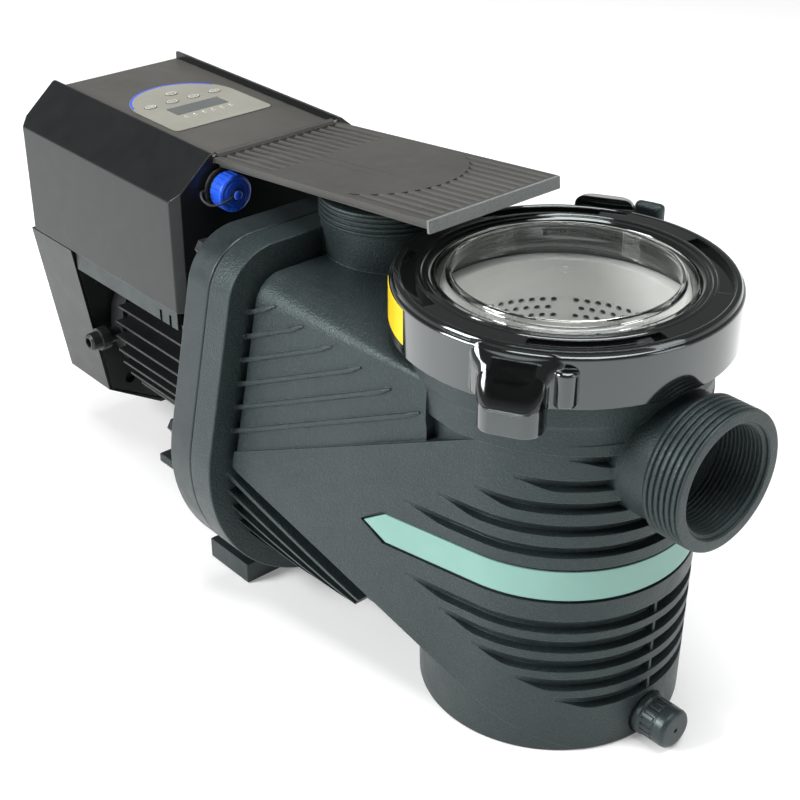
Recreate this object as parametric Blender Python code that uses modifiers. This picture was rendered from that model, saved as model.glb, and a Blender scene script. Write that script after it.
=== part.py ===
"""Variable-speed pool pump: strainer pot and volute in one moulding, bolted seal plate, finned motor,
controller hood with a hinged display flap.  Metres, +Z up.  +X points out of the suction port, the
strainer pot's axis is the Z axis, and the pot's base stands on z = 0."""

import math
import bmesh
import bpy
from mathutils import Matrix, Vector

MM = 0.001
GAP = 0.3

# Driving dimensions, in millimetres.
POT_CX = 3.0
POT_R_BASE = 78.5
POT_R_TOP = 81.5
POT_HULL_TOP = 205.0
POT_BORE_R = 72.0
COLLAR_R = 85.0
COLLAR_TOP = 248.0
COLLAR_BORE_R = 77.0
RIM_LEDGE_Z = 236.0

SHAFT_Z = 103.0
FLANGE_FRONT = -163.0
PARTING_X = -183.0
SEAL_PLATE_REAR = -205.0
CHEEK_X = -155.0
LOWER_ARC = (30.0, 103.0, 98.0)
UPPER_ARC = (72.0, 211.0, 35.0)
CHEEK_INSET = 15.0
VOLUTE_LOW = 36.0

SUCTION_Z = 187.9
SUCTION_FACE_X = 119.3
PORT_THREAD_R = 40.0
PORT_BORE_R = 30.5
PORT_MOUTH_R = 32.5
DISCHARGE_X = -147.0
DISCHARGE_TOP = 265.0
DISCHARGE_R = 39.5

RING_R = 94.6
RING_TOP = 263.7
RING_SKIRT = 232.2
RING_WALL_R = 90.5
RING_WINDOW_R = 71.0
LUG_COUNT = 4
HANDLE_AZIMUTHS = (-61.0, 119.0)
HANDLE_LOWS = (212.0, 219.0)

BAND_LOW = 107.0
BAND_HIGH = 126.0

MOTOR_R = 54.0
FIN_R = 66.0
MOTOR_REAR = -372.0
MOTOR_FRONT = -234.3

HOOD_REAR = -445.0
HOOD_FRONT = -254.0
HOOD_Y = 82.0
HOOD_LOW = 166.5
HOOD_EDGE_Z = 243.5
HOOD_RIM_Y = 52.3
HOOD_TOP = 268.8
PANEL_Z = 263.6
RIM_INNER_Y = 50.3
WALL = 2.5

HINGE_X = -256.5
HINGE_Z = 266.0
FLAP_LENGTH = 203.5
FLAP_HALF = 49.8
FLAP_TILT = 6.3

KEYPAD_X = (-397.0, -312.5)
KEYPAD_Y = 1.0
KEYPAD_HALF = 39.0
KEY_ROW_X = -363.0
KEY_PITCH = 17.4

CAP_Y = -46.5
CAP_Z = 246.6
CAP_R = 12.0
DRAIN_Z = 13.2


def clear_scene():
    for item in list(bpy.data.objects):
        bpy.data.objects.remove(item, do_unlink=True)


def collection(name):
    group = bpy.data.collections.new(name)
    bpy.context.scene.collection.children.link(group)
    return group


clear_scene()
PARTS = collection("pool_pump")
CUTTERS = collection("cutters")


def material(name, colour, roughness, metallic=0.0):
    mat = bpy.data.materials.new(name)
    mat.use_nodes = True
    shader = mat.node_tree.nodes["Principled BSDF"]
    shader.inputs["Base Color"].default_value = (*colour, 1.0)
    shader.inputs["Roughness"].default_value = roughness
    shader.inputs["Metallic"].default_value = metallic
    mat.diffuse_color = (*colour, 1.0)
    return mat


GRAINED = material("grained_black", (0.022, 0.024, 0.026), 0.55)
GLOSS = material("gloss_black", (0.008, 0.008, 0.009), 0.12)
SATIN = material("satin_black", (0.02, 0.021, 0.024), 0.35)
WARM = material("warm_grey", (0.06, 0.055, 0.05), 0.5)
TEAL = material("teal_band", (0.28, 0.5, 0.45), 0.45)
CLEAR = material("clear_lid", (0.85, 0.88, 0.88), 0.05)
WHITE = material("basket_white", (0.72, 0.74, 0.73), 0.4)
RUBBER = material("seal_rubber", (0.015, 0.015, 0.015), 0.7)
BLUE = material("cap_blue", (0.02, 0.14, 0.75), 0.35)
STEEL = material("stainless", (0.6, 0.6, 0.6), 0.28, 1.0)
ALU = material("cast_aluminium", (0.03, 0.032, 0.035), 0.5, 0.4)
COPPER = material("winding_steel", (0.3, 0.18, 0.1), 0.45, 0.8)
BOARD = material("circuit_green", (0.02, 0.16, 0.07), 0.5)
KEYPAD = material("keypad_grey", (0.26, 0.25, 0.23), 0.45)
DISPLAY = material("display_grey", (0.12, 0.13, 0.13), 0.2)


def finish_mesh(bm, name, mat, group):
    """Scale a millimetre bmesh to metres and link it as a named object."""
    bmesh.ops.scale(bm, vec=(MM, MM, MM), verts=bm.verts)
    bmesh.ops.recalc_face_normals(bm, faces=bm.faces)
    mesh = bpy.data.meshes.new(name)
    bm.to_mesh(mesh)
    bm.free()
    obj = bpy.data.objects.new(name, mesh)
    if mat:
        mesh.materials.append(mat)
    group.objects.link(obj)
    if group is CUTTERS:
        obj.hide_render = True
        obj.display_type = "WIRE"
    return obj


def add_box(bm, low, high, matrix=None):
    """A box between two corners, turned by matrix when one is given."""
    size = [high[i] - low[i] for i in range(3)]
    middle = [(high[i] + low[i]) / 2 for i in range(3)]
    place = Matrix.Translation(middle) @ Matrix.Diagonal((*size, 1.0))
    if matrix:
        place = matrix @ place
    return bmesh.ops.create_cube(bm, size=1.0, matrix=place)["verts"]


AXIS_TURN = {
    "X": Matrix.Rotation(math.radians(90), 4, "Y"),
    "Y": Matrix.Rotation(math.radians(-90), 4, "X"),
    "Z": Matrix.Identity(4),
}


def add_cylinder(bm, axis, centre, radius, start, end, segments=32, end_radius=None):
    """A cylinder or cone about an axis line through centre, from start to end along it."""
    length = end - start
    place = Vector(centre)
    place["XYZ".index(axis)] = (start + end) / 2
    bmesh.ops.create_cone(
        bm, cap_ends=True, segments=segments, radius1=radius,
        radius2=radius if end_radius is None else end_radius, depth=length,
        matrix=Matrix.Translation(place) @ AXIS_TURN[axis])


def box(name, low, high, mat=None, group=None):
    bm = bmesh.new()
    add_box(bm, low, high)
    return finish_mesh(bm, name, mat, group or (PARTS if mat else CUTTERS))


def cylinder(name, axis, centre, radius, start, end, mat=None, segments=32, end_radius=None):
    bm = bmesh.new()
    add_cylinder(bm, axis, centre, radius, start, end, segments, end_radius)
    return finish_mesh(bm, name, mat, PARTS if mat else CUTTERS)


def prism(name, outline, start, end, plane="YZ", mat=None):
    """Extrude a flat outline: plane YZ runs along X, XZ along Y and XY along Z."""
    bm = bmesh.new()
    place = {
        "YZ": lambda a, b: (start, a, b),
        "XZ": lambda a, b: (a, start, b),
        "XY": lambda a, b: (a, b, start),
    }[plane]
    step = {"YZ": (end - start, 0, 0), "XZ": (0, end - start, 0), "XY": (0, 0, end - start)}[plane]
    verts = [bm.verts.new(place(a, b)) for a, b in outline]
    bmesh.ops.contextual_create(bm, geom=verts)
    out = bmesh.ops.extrude_face_region(bm, geom=list(bm.faces))
    moved = [item for item in out["geom"] if isinstance(item, bmesh.types.BMVert)]
    bmesh.ops.translate(bm, vec=step, verts=moved)
    return finish_mesh(bm, name, mat, PARTS if mat else CUTTERS)


def lathe(name, profile, axis, centre, mat=None, steps=32, closed=True):
    """Turn a (radius, height) profile about an axis through centre; an outer side runs downwards."""
    mesh = bpy.data.meshes.new(name)
    points = [(r * MM, 0.0, h * MM) for r, h in profile]
    count = len(points)
    edges = [(i, i + 1) for i in range(count - 1)]
    if closed:
        edges.append((count - 1, 0))
    mesh.from_pydata(points, edges, [])
    obj = bpy.data.objects.new(name, mesh)
    (PARTS if mat else CUTTERS).objects.link(obj)
    if mat:
        mesh.materials.append(mat)
    else:
        obj.hide_render = True
        obj.display_type = "WIRE"
    turn = obj.modifiers.new("turn", "SCREW")
    turn.steps = steps
    turn.render_steps = steps
    turn.use_merge_vertices = True
    turn.merge_threshold = 0.00001
    turn.use_smooth_shade = False
    obj.matrix_world = Matrix.Translation(Vector(centre) * MM) @ AXIS_TURN[axis]
    return obj


def hull(name, point_sets, mat=None):
    """Convex hull around loops of points: a smooth loft between unlike sections."""
    bm = bmesh.new()
    for points in point_sets:
        for point in points:
            bm.verts.new(point)
    result = bmesh.ops.convex_hull(bm, input=bm.verts)
    unused = {item for item in result["geom_interior"] if isinstance(item, bmesh.types.BMVert)}
    unused |= {item for item in result["geom_unused"] if isinstance(item, bmesh.types.BMVert)}
    bmesh.ops.delete(bm, geom=list(unused), context="VERTS")
    bmesh.ops.dissolve_limit(bm, angle_limit=math.radians(0.5), verts=bm.verts, edges=bm.edges)
    return finish_mesh(bm, name, mat, PARTS if mat else CUTTERS)


def boolean(obj, other, operation="DIFFERENCE"):
    step = obj.modifiers.new(operation.lower() + "_" + other.name, "BOOLEAN")
    step.operation = operation
    step.solver = "EXACT"
    step.object = other
    return obj


def cut(obj, *others):
    for other in others:
        boolean(obj, other, "DIFFERENCE")
    return obj


def join(obj, *others):
    for other in others:
        boolean(obj, other, "UNION")
    return obj


def bevel(obj, width, segments=1, angle=30.0):
    step = obj.modifiers.new("bevel", "BEVEL")
    step.width = width * MM
    step.segments = segments
    step.limit_method = "ANGLE"
    step.angle_limit = math.radians(angle)
    step.harden_normals = False
    return obj


def arc(cx, cy, radius, first, last, count):
    """Points on an arc, angles in degrees."""
    turn = math.radians(last - first) / (count - 1)
    start = math.radians(first)
    return [(cx + radius * math.cos(start + turn * i), cy + radius * math.sin(start + turn * i))
            for i in range(count)]


def circle(centre, radius, z, count):
    return [(x, y, z) for x, y in arc(centre[0], centre[1], radius, 0, 360 - 360 / count, count)]


def tangent_angle():
    """Direction of the normal on the straight side between the flange's lower and upper arcs."""
    across = UPPER_ARC[0] - LOWER_ARC[0]
    up = UPPER_ARC[1] - LOWER_ARC[1]
    reach = math.hypot(across, up)
    lean = math.acos((LOWER_ARC[2] - UPPER_ARC[2]) / reach)
    return math.degrees(math.atan2(up, across) - lean)


def flange_outline(inset):
    """The flange's outline in (y, z), moved inwards by inset."""
    side = tangent_angle()
    right = arc(LOWER_ARC[0], LOWER_ARC[1], LOWER_ARC[2] - inset, -90, side, 11)
    right += arc(UPPER_ARC[0], UPPER_ARC[1], UPPER_ARC[2] - inset, side, 90, 7)
    left = [(-y, z) for y, z in reversed(right)]
    return right + left


def body_hull(name, inset, start=CHEEK_X, bottom=0.0, segments=40, start_inset=None):
    """The moulding's outer form: the flange's section lofted onto the round pot."""
    first = CHEEK_INSET + inset if start_inset is None else start_inset
    rear = [(start, y, z) for y, z in flange_outline(first)]
    base = circle((POT_CX, 0), POT_R_BASE - inset, bottom, segments)
    top = circle((POT_CX, 0), POT_R_TOP - inset, POT_HULL_TOP - inset, segments)
    return hull(name, [rear, base, top])


def thread_profile(radius, root, start, end, crests):
    """Outer side of a threaded neck, from end down to start: rounded crests as a zigzag."""
    pitch = (end - start) / crests
    points = []
    for i in range(crests):
        top = end - i * pitch
        points.append((radius, top - 0.3 * pitch))
        points.append((root, top - 0.8 * pitch))
    return points


def ring_sector(name, inner, outer, low, high, first, last, centre=(0.0, 0.0), steps=24, mat=None):
    """A block bent round a vertical axis between two angles in degrees."""
    far = arc(centre[0], centre[1], outer, first, last, steps)
    near = arc(centre[0], centre[1], inner, first, last, steps)
    bm = bmesh.new()
    rows = []
    for (ax, ay), (bx, by) in zip(near, far):
        corners = ((ax, ay, low), (bx, by, low), (bx, by, high), (ax, ay, high))
        rows.append([bm.verts.new(c) for c in corners])
    for a, b in zip(rows, rows[1:]):
        for i in range(4):
            k = (i + 1) % 4
            bm.faces.new((a[i], a[k], b[k], b[i]))
    bm.faces.new(rows[0])
    bm.faces.new(list(reversed(rows[-1])))
    return finish_mesh(bm, name, mat, PARTS if mat else CUTTERS)


# ---------------------------------------------------------------- pot and volute moulding

def rib_plates():
    """Slanted thin plates whose outer edges become the shoulder ribs and the lower ribs."""
    bm = bmesh.new()
    upper = zip((209, 194, 180, 165, 151, 137), (-130, -105, -80, -55, -31, -8))
    lower = zip((108, 94, 80, 66, 53), (-72, -78, -86, -98, -112))
    for rising, ribs in ((27.0, upper), (-31.0, lower)):
        for height, end in ribs:
            lean = math.radians(rising)
            length = (end - FLANGE_FRONT) / math.cos(lean)
            turn = Matrix.Translation((FLANGE_FRONT - 0.5, 0, height)) @ Matrix.Rotation(-lean, 4, "Y")
            for side in (-1, 1):
                near, far = sorted((side * 52.0, side * 130.0))
                add_box(bm, (0, near, -1.3), (length, far, 1.3), turn)
    plates = finish_mesh(bm, "rib_plates", None, CUTTERS)
    form = body_hull("rib_form", -1.8, start=FLANGE_FRONT - 0.6, segments=22, start_inset=12.5)
    return boolean(plates, form, "INTERSECT")


def pot_and_volute():
    """Round pot, a volute panel whose underside rises to the pot, and a slightly proud cheek."""
    solid = cylinder("pump_body", "Z", (POT_CX, 0, 0), POT_R_BASE - 0.6, 0, POT_HULL_TOP - 0.6,
                     GRAINED, 40, POT_R_TOP - 0.6)
    join(solid, body_hull("volute_form", 1.2, bottom=VOLUTE_LOW))
    cheek = body_hull("cheek_form", 0.0, bottom=0.6)
    outline = [(-158, 117), (-158, 122), (60, 217), (140, 217), (140, -2), (62, -2)]
    region = prism("cheek_region", outline, -150, 150, "XZ")
    return join(solid, boolean(cheek, region, "INTERSECT"))


def pot_grooves():
    """Recesses between the fins round the pot's front, above and below the band."""
    cutters = []
    lower = zip((84.5, 71.0, 57.5, 44.0, 30.5), (110, 96, 80, 62, 44))
    upper = zip((191.0, 177.0, 163.0, 149.0, 135.0), (44, 64, 80, 96, 110))
    for kind, grooves, height in (("low", lower, 8.5), ("high", upper, 6.5)):
        for i, (z, reach) in enumerate(grooves):
            name = "groove_%s_%d" % (kind, i)
            cutters.append(ring_sector(name, 75.8, 112, z, z + height, -reach, reach,
                                       (POT_CX, 0), 13))
    return cutters


def band_region(name, grow):
    """The band's outline seen from the side, with its arrow-shaped rear end."""
    low, high = BAND_LOW - grow, BAND_HIGH + grow
    outline = [(-58 - 1.3 * grow, (low + high) / 2), (-43 - grow, high), (120, high),
               (120, low), (-43 - grow, low)]
    return prism(name, outline, -150, 150, "XZ")


def band_shell(name, outer, inner, grow):
    """A slice of the body's outer skin, between two insets, as high as the band."""
    shell = body_hull(name, outer, segments=56)
    boolean(shell, band_region(name + "_region", grow), "INTERSECT")
    core = body_hull(name + "_core", inner, start=CHEEK_X - 3, segments=56)
    return cut(shell, core)


def suction_port():
    face = SUCTION_FACE_X
    outer = [(PORT_THREAD_R - 0.8, face), (PORT_THREAD_R, face - 0.8)]
    outer += thread_profile(PORT_THREAD_R, 38.3, 96.0, face - 1.5, 6)
    profile = [(0, face)] + outer + [(36.6, 94.0), (37.4, 60.0), (0, 60.0)]
    return lathe("suction_neck", profile, "X", (0, 0, SUCTION_Z), closed=False, steps=28)


def discharge_port():
    top = DISCHARGE_TOP
    outer = [(39.6, top), (40.8, top - 1.0)]
    outer += thread_profile(40.8, 39.2, 251.5, top - 1.6, 4)
    profile = [(0, top)] + outer + [(DISCHARGE_R, 250.2), (DISCHARGE_R, 226.0), (43.5, 222.0),
                                    (43.5, 190.0), (0, 190.0)]
    return lathe("discharge_neck", profile, "Z", (DISCHARGE_X, 0, 0), closed=False, steps=28)


def collar():
    """The pot's neck under the lock ring, with four bayonet lugs and a stop post."""
    profile = [(0, COLLAR_TOP), (COLLAR_R, COLLAR_TOP), (COLLAR_R, 216), (83.6, 213), (83.6, 199.4),
               (0, 199.4)]
    neck = lathe("collar", profile, "Z", (0, 0, 0), closed=False, steps=40)
    for i in range(LUG_COUNT):
        middle = 26 + 90 * i
        join(neck, ring_sector("collar_lug_%d" % i, 83, 89.9, 238.5, 242.5, middle - 9,
                               middle + 9, steps=5))
    arm = ring_sector("stop_arm", 81, 118, 202.5, 209.5, 104.4, 110.6, steps=3)
    post = ring_sector("stop_post", 111.8, 117.6, 205, 258, 104.8, 110.2, steps=3)
    return join(neck, arm, post)


def flange_bolt_places():
    """Centres of the flange bolts in (y, z)."""
    places = [(LOWER_ARC[0] + 91 * math.cos(math.radians(a)),
               LOWER_ARC[1] + 91 * math.sin(math.radians(a))) for a in (-75, -32, 11)]
    places.append((UPPER_ARC[0] + 28 * math.cos(math.radians(50)),
                   UPPER_ARC[1] + 28 * math.sin(math.radians(50))))
    return places + [(-y, z) for y, z in places]


def make_pump_body():
    body = pot_and_volute()
    cut(body, *pot_grooves())
    cut(body, band_shell("band_recess", -1.0, 1.8, GAP))
    join(body, box("front_rib", (74, -1.2, 28), (81.0, 1.2, 133)))
    join(body, prism("throat", flange_outline(23.5), FLANGE_FRONT - 3, CHEEK_X + 4))
    join(body, bevel(prism("body_flange", flange_outline(0), PARTING_X, FLANGE_FRONT), 0.8))
    join(body, rib_plates())
    join(body, collar(), suction_port(), discharge_port())
    cut(body, box("rear_trim", (-215, -60, 180), (PARTING_X, 60, 249.5)))

    cut(body, cylinder("pot_bore", "Z", (0, 0, 0), POT_BORE_R, 8, 240, segments=48))
    cut(body, cylinder("collar_bore", "Z", (0, 0, 0), COLLAR_BORE_R, RIM_LEDGE_Z, 260, segments=40))
    chamber = hull("chamber", [
        [(PARTING_X - 2, y, z) for y, z in flange_outline(28.5)],
        [(CHEEK_X + 5, y, z) for y, z in flange_outline(29)],
        [(-108, y, z) for y, z in arc(0, SHAFT_Z + 4, 69, 0, 350, 24)]])
    cut(body, chamber)
    cut(body, cylinder("eye_passage", "X", (0, 0, SHAFT_Z), 24, -112, -50, segments=32))
    cut(body, cylinder("discharge_bore", "Z", (DISCHARGE_X, 0, 0), PORT_BORE_R, 150, 270))
    cut(body, cylinder("discharge_mouth", "Z", (DISCHARGE_X, 0, 0), PORT_MOUTH_R, 262, 270))
    cut(body, cylinder("suction_bore", "X", (0, 0, SUCTION_Z), PORT_BORE_R, 40, 131, segments=32))
    cut(body, cylinder("suction_mouth", "X", (0, 0, SUCTION_Z), PORT_MOUTH_R, 116.3, 130, segments=32))
    cut(body, cylinder("drain_spotface", "X", (0, 0, DRAIN_Z), 13.6, 79, 92, segments=24))
    cut(body, cylinder("drain_bore", "X", (0, 0, DRAIN_Z), 8.4, 60, 90, segments=24))
    cut(body, seal_groove())
    for i, (y, z) in enumerate(flange_bolt_places()):
        cut(body, cylinder("insert_hole_%d" % i, "X", (0, y, z), 3.4, -190, -170, segments=10))
    return body


def seal_groove():
    """Channel in the flange's rear face for the flange seal."""
    channel = prism("seal_channel", flange_outline(14.6), PARTING_X - 1, PARTING_X + 3.2)
    return cut(channel, prism("seal_channel_core", flange_outline(19.4), PARTING_X - 2, PARTING_X + 5))


def make_flange_seal():
    seal = prism("flange_seal", flange_outline(15.2), PARTING_X + 0.05, PARTING_X + 2.9, mat=RUBBER)
    return cut(seal, prism("flange_seal_core", flange_outline(18.8), PARTING_X - 2, PARTING_X + 5))


def make_side_band():
    band = band_shell("side_band", -0.5, 1.5, 0.0)
    CUTTERS.objects.unlink(band)
    PARTS.objects.link(band)
    band.hide_render = False
    band.display_type = "TEXTURED"
    band.data.materials.append(TEAL)
    return band


# ---------------------------------------------------------------- wet end internals and fasteners

def make_seal_plate():
    front = PARTING_X - GAP
    plate = bevel(prism("seal_plate", flange_outline(0), SEAL_PLATE_REAR, front, mat=GRAINED), 1.6)
    join(plate, cylinder("lantern", "X", (0, 0, SHAFT_Z), 58, -231.7, SEAL_PLATE_REAR + 2, segments=40))
    for side in (-1, 1):
        near, far = sorted((side * 61.0, side * 90.5))
        foot = bevel(box("front_foot_%d" % side, (-225, near, 0), (front, far, 9)), 0.8)
        join(plate, foot)
        near, far = sorted((side * 64.0, side * 82.0))
        join(plate, box("foot_web_%d" % side, (-213, near, 4), (-198, far, 40)))
    cut(plate, cylinder("plate_recess", "X", (0, 0, SHAFT_Z), 70, -191, -170, segments=40))
    cut(plate, cylinder("plate_bore", "X", (0, 0, SHAFT_Z), 16.3, -206, -170))
    cut(plate, cylinder("lantern_bore", "X", (0, 0, SHAFT_Z), 50, -240, -203, segments=40))
    for side in (-1, 1):
        near, far = sorted((side * 30.0, side * 70.0))
        cut(plate, box("lantern_window_%d" % side, (-228, near, 88), (-209, far, 118)))
    for i, (y, z) in enumerate(flange_bolt_places()):
        cut(plate, cylinder("plate_hole_%d" % i, "X", (0, y, z), 3.4, -210, -180, segments=10))
    return plate


def make_flange_bolts():
    for i, (y, z) in enumerate(flange_bolt_places()):
        bm = bmesh.new()
        add_cylinder(bm, "X", (0, y, z), 3.0, -208, -172, 10)
        bolt = finish_mesh(bm, "flange_bolt_%d" % (i + 1), STEEL, PARTS)
        head = cylinder("bolt_head_%d" % i, "X", (0, y, z), 5.8, -211, SEAL_PLATE_REAR - GAP, segments=6)
        join(bolt, head)


def make_wet_end():
    z = (0, 0, SHAFT_Z)
    lathe("diffuser", [(66, -128), (66, -190.5), (63, -190.5), (63, -131), (23.5, -131), (23.5, -128)],
          "X", z, GRAINED, steps=28)
    impeller = lathe("impeller", [(50, -168), (50, -171), (17, -171), (17, -178), (8.4, -178), (8.4, -157),
                                  (15, -157), (15, -168)], "X", z, GRAINED, steps=24)
    bm = bmesh.new()
    for i in range(6):
        spin = Matrix.Translation((0, 0, SHAFT_Z)) @ Matrix.Rotation(math.radians(60 * i + 3), 4, "X")
        skew = spin @ Matrix.Translation((0, 12, 0)) @ Matrix.Rotation(math.radians(28), 4, "X")
        add_box(bm, (-169.5, 16, -1.2), (-154.5, 31, 1.2), skew)
    join(impeller, finish_mesh(bm, "vanes", None, CUTTERS))
    join(impeller, lathe("front_shroud", [(50, -153), (50, -156), (20, -156), (20, -153)], "X", z, steps=24))
    lathe("impeller_nut", [(0, -147), (5, -149), (10, -156.7), (0, -156.7)], "X", z, STEEL, 12, False)
    lathe("seal_seat", [(16, -192), (16, -200), (9.0, -200), (9.0, -192)], "X", z, WHITE, 24)
    lathe("seal_rotor", [(14, -178.4), (14, -191.6), (8.4, -191.6), (8.4, -178.4)], "X", z, STEEL, 20)
    lathe("slinger", [(18, -212), (18, -214), (12, -216), (8.4, -216), (8.4, -210), (12, -210)], "X", z,
          RUBBER, 20)


# ---------------------------------------------------------------- strainer lid, ring and basket

def make_lid():
    lid = [(0, 264.6), (61.2, 264.6), (62.2, 262.9), (70.4, 262.5), (70.4, 259.2), (83, 259.2),
           (83, 252.4), (76.3, 252.4), (76.3, 242.4), (73.2, 242.4), (71.2, 256.2), (0, 256.6)]
    lathe("lid", lid, "Z", (0, 0, 0), CLEAR, 40, False)
    lathe("lid_seal", [(82.6, 252.1), (82.6, 248.3), (78, 248.3), (78, 252.1)], "Z", (0, 0, 0), RUBBER, 36)


def ring_handle(azimuth, low):
    """A hanging grip on the ring's skirt, its top face sloping outwards."""
    outline = [(90, 256.5), (98, 256), (107.5, 243), (109.5, 238), (108, low + 2), (103, low), (92, low + 1),
               (92, 230)]
    grip = prism("handle_%d" % azimuth, outline, -19.5, 19.5, "XZ")
    grip.matrix_world = Matrix.Rotation(math.radians(azimuth), 4, "Z")
    notch = cylinder("finger_%d" % azimuth, "Z", (91, 0, 0), 12.5, 200, 231.8, segments=16)
    notch.matrix_world = grip.matrix_world
    return cut(bevel(grip, 2.5, 1), notch)


def make_lock_ring():
    top, skirt = RING_TOP, RING_SKIRT
    profile = [(RING_R - 1.2, top), (RING_R, top - 1.2), (RING_R, skirt), (RING_WALL_R, skirt),
               (RING_WALL_R, 259.6), (RING_WINDOW_R, 259.6), (RING_WINDOW_R, top - 0.6),
               (RING_WINDOW_R + 1, top)]
    ring = lathe("lock_ring", profile, "Z", (0, 0, 0), GLOSS, 48)
    for i in range(LUG_COUNT):
        middle = 56 + 90 * i
        join(ring, ring_sector("ring_lug_%d" % i, 86.2, 92, skirt + 0.3, 236.6, middle - 9, middle + 9,
                               steps=5))
    for azimuth, low in zip(HANDLE_AZIMUTHS, HANDLE_LOWS):
        join(ring, ring_handle(azimuth, low))
    for i in range(4):
        middle = -65 + 90 * i
        cut(ring, ring_sector("ring_pocket_%d" % i, 80, 88, 261.6, 266, middle - 24, middle + 24,
                              steps=12))
    return ring


def make_basket():
    cup = [(0, 56.2), (55, 56.2), (59.8, 61), (67.2, 238), (67.2, 240.0), (76, 240.0), (76, 236.3),
           (69.5, 236.3), (62, 60), (56, 54), (0, 54)]
    basket = lathe("basket", cup, "Z", (0, 0, 0), WHITE, 32, False)
    return cut(basket, cylinder("inlet_window", "X", (0, 0, SUCTION_Z), 27, 30, 90, segments=24))


# ---------------------------------------------------------------- drain plug

def make_drain_plug():
    z = (0, 0, DRAIN_Z)
    lathe("drain_plug_seal", [(12, 81.2), (12, 79.3), (8.6, 79.3), (8.6, 81.2)], "X", z, RUBBER, 24)
    plug = lathe("drain_plug", [(0, 104), (10.6, 104), (12.2, 102), (12.2, 84.5), (13, 84.5), (13, 81.5),
                                (8.0, 81.5), (8.0, 70), (0, 70)], "X", z, GRAINED, 20, False)
    bm = bmesh.new()
    for i in range(9):
        turn = Matrix.Translation((0, 0, DRAIN_Z)) @ Matrix.Rotation(math.radians(40 * i + 15), 4, "X")
        add_box(bm, (87, 11.4, -0.7), (105, 14, 0.7), turn)
    cut(plug, finish_mesh(bm, "knob_flutes", None, CUTTERS))
    return cut(plug, cylinder("knob_dimple", "X", z, 1.6, 102, 106, segments=12))


# ---------------------------------------------------------------- motor

def make_motor():
    z = (0, 0, SHAFT_Z)
    housing = cylinder("motor_housing", "X", z, MOTOR_R, MOTOR_REAR, MOTOR_FRONT, ALU, 40)
    bm = bmesh.new()
    for step in range(-4, 5):
        height = SHAFT_Z + 11 * step
        reach = math.sqrt(FIN_R ** 2 - (height - SHAFT_Z) ** 2)
        add_box(bm, (MOTOR_REAR + 4, -reach, height - 1), (MOTOR_FRONT - 6, reach, height + 1))
    join(housing, finish_mesh(bm, "fins", None, CUTTERS))
    join(housing, box("motor_top", (-366, -42, 150), (-262, 42, 163.1)))
    cut(housing, cylinder("motor_bore", "X", z, 49, MOTOR_REAR - 2, MOTOR_FRONT + 2, segments=40))

    lathe("front_bell", [(57.8, -232.0), (57.8, -234), (48.6, -234), (48.6, -250), (17.8, -250),
                         (17.8, -236), (12, -236), (12, -232.0)], "X", z, ALU, 24)
    lathe("rear_bell", [(48.6, -358), (48.6, -372.3), (58, -372.3), (58, -388), (12, -388), (12, -384),
                        (17.8, -384), (17.8, -370), (48, -370), (48, -358)], "X", z, ALU, 24)
    lathe("stator", [(48.5, -262), (48.5, -350), (30, -350), (30, -262)], "X", z, COPPER, 24)
    for name, start in (("front_bearing", -249), ("rear_bearing", -383.5)):
        lathe(name, [(17.5, start + 12), (17.5, start), (8.6, start), (8.6, start + 12)], "X", z, STEEL, 16)
    lathe("shaft", [(0, -157), (8.1, -157), (8.1, -428), (0, -428)], "X", z, STEEL, 24, False)
    lathe("rotor_core", [(28, -266), (28, -346), (8.4, -346), (8.4, -266)], "X", z, COPPER, 20)

    fan = lathe("cooling_fan", [(14, -400), (14, -424), (8.4, -424), (8.4, -400)], "X", z, GRAINED, 20)
    bm = bmesh.new()
    for i in range(7):
        spin = Matrix.Translation((0, 0, SHAFT_Z)) @ Matrix.Rotation(math.radians(360 * i / 7), 4, "X")
        add_box(bm, (-422, 13, -1), (-402, 52, 1), spin)
    join(fan, finish_mesh(bm, "fan_blades", None, CUTTERS))

    foot = bevel(box("motor_foot", (-350, -50, 0), (-321, 50, 7), GRAINED), 0.8)
    join(foot, box("foot_pillar", (-342, -36, 3), (-329, 36, 57)))
    cut(foot, cylinder("foot_saddle", "X", z, MOTOR_R + GAP, -360, -310, segments=40))
    return housing


# ---------------------------------------------------------------- controller hood and rear cover

def hood_outline(inset):
    side, rim = HOOD_Y - inset, HOOD_RIM_Y - 0.55 * inset
    right = [(side, HOOD_LOW), (side, HOOD_EDGE_Z - 0.4 * inset), (rim, HOOD_TOP - 0.9 * inset)]
    return right + [(-y, z) for y, z in reversed(right)]


def make_hood():
    hood = prism("hood", hood_outline(0), HOOD_REAR, HOOD_FRONT, mat=SATIN)
    corners = []
    for side in (-1, 1):
        outline = [(HOOD_FRONT - 6.5, side * 84), (HOOD_FRONT + 1, side * 84), (HOOD_FRONT + 1, side * 74.5)]
        corners.append(prism("corner_%d" % side, outline, 150, HOOD_EDGE_Z + 1, "XY"))
    cut(hood, *corners)
    cut(hood, box("top_recess", (HOOD_REAR - 2, -RIM_INNER_Y, PANEL_Z), (-250, RIM_INNER_Y, 280)))
    cut(hood, box("hinge_notch", (-260.5, -RIM_INNER_Y, 262.6), (-250, RIM_INNER_Y, 280)))
    inner = [(79.5, 160), (79.5, 242.5), (58, 260.6), (-58, 260.6), (-79.5, 242.5), (-79.5, 160)]
    cut(hood, prism("hood_hollow", inner, HOOD_REAR + WALL, HOOD_FRONT - 9))
    inner_front = [(y * 0.93, z) for y, z in inner]
    cut(hood, prism("hood_nose", inner_front, HOOD_FRONT - 12, HOOD_FRONT - WALL))
    cut(hood, cylinder("socket_hole", "X", (0, CAP_Y, CAP_Z), 8.3, -262, -250, segments=24))
    cut(hood, cylinder("pin_hole", "Y", (HINGE_X, 0, HINGE_Z), 1.35, -60, 60, segments=10))
    return hood


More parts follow.
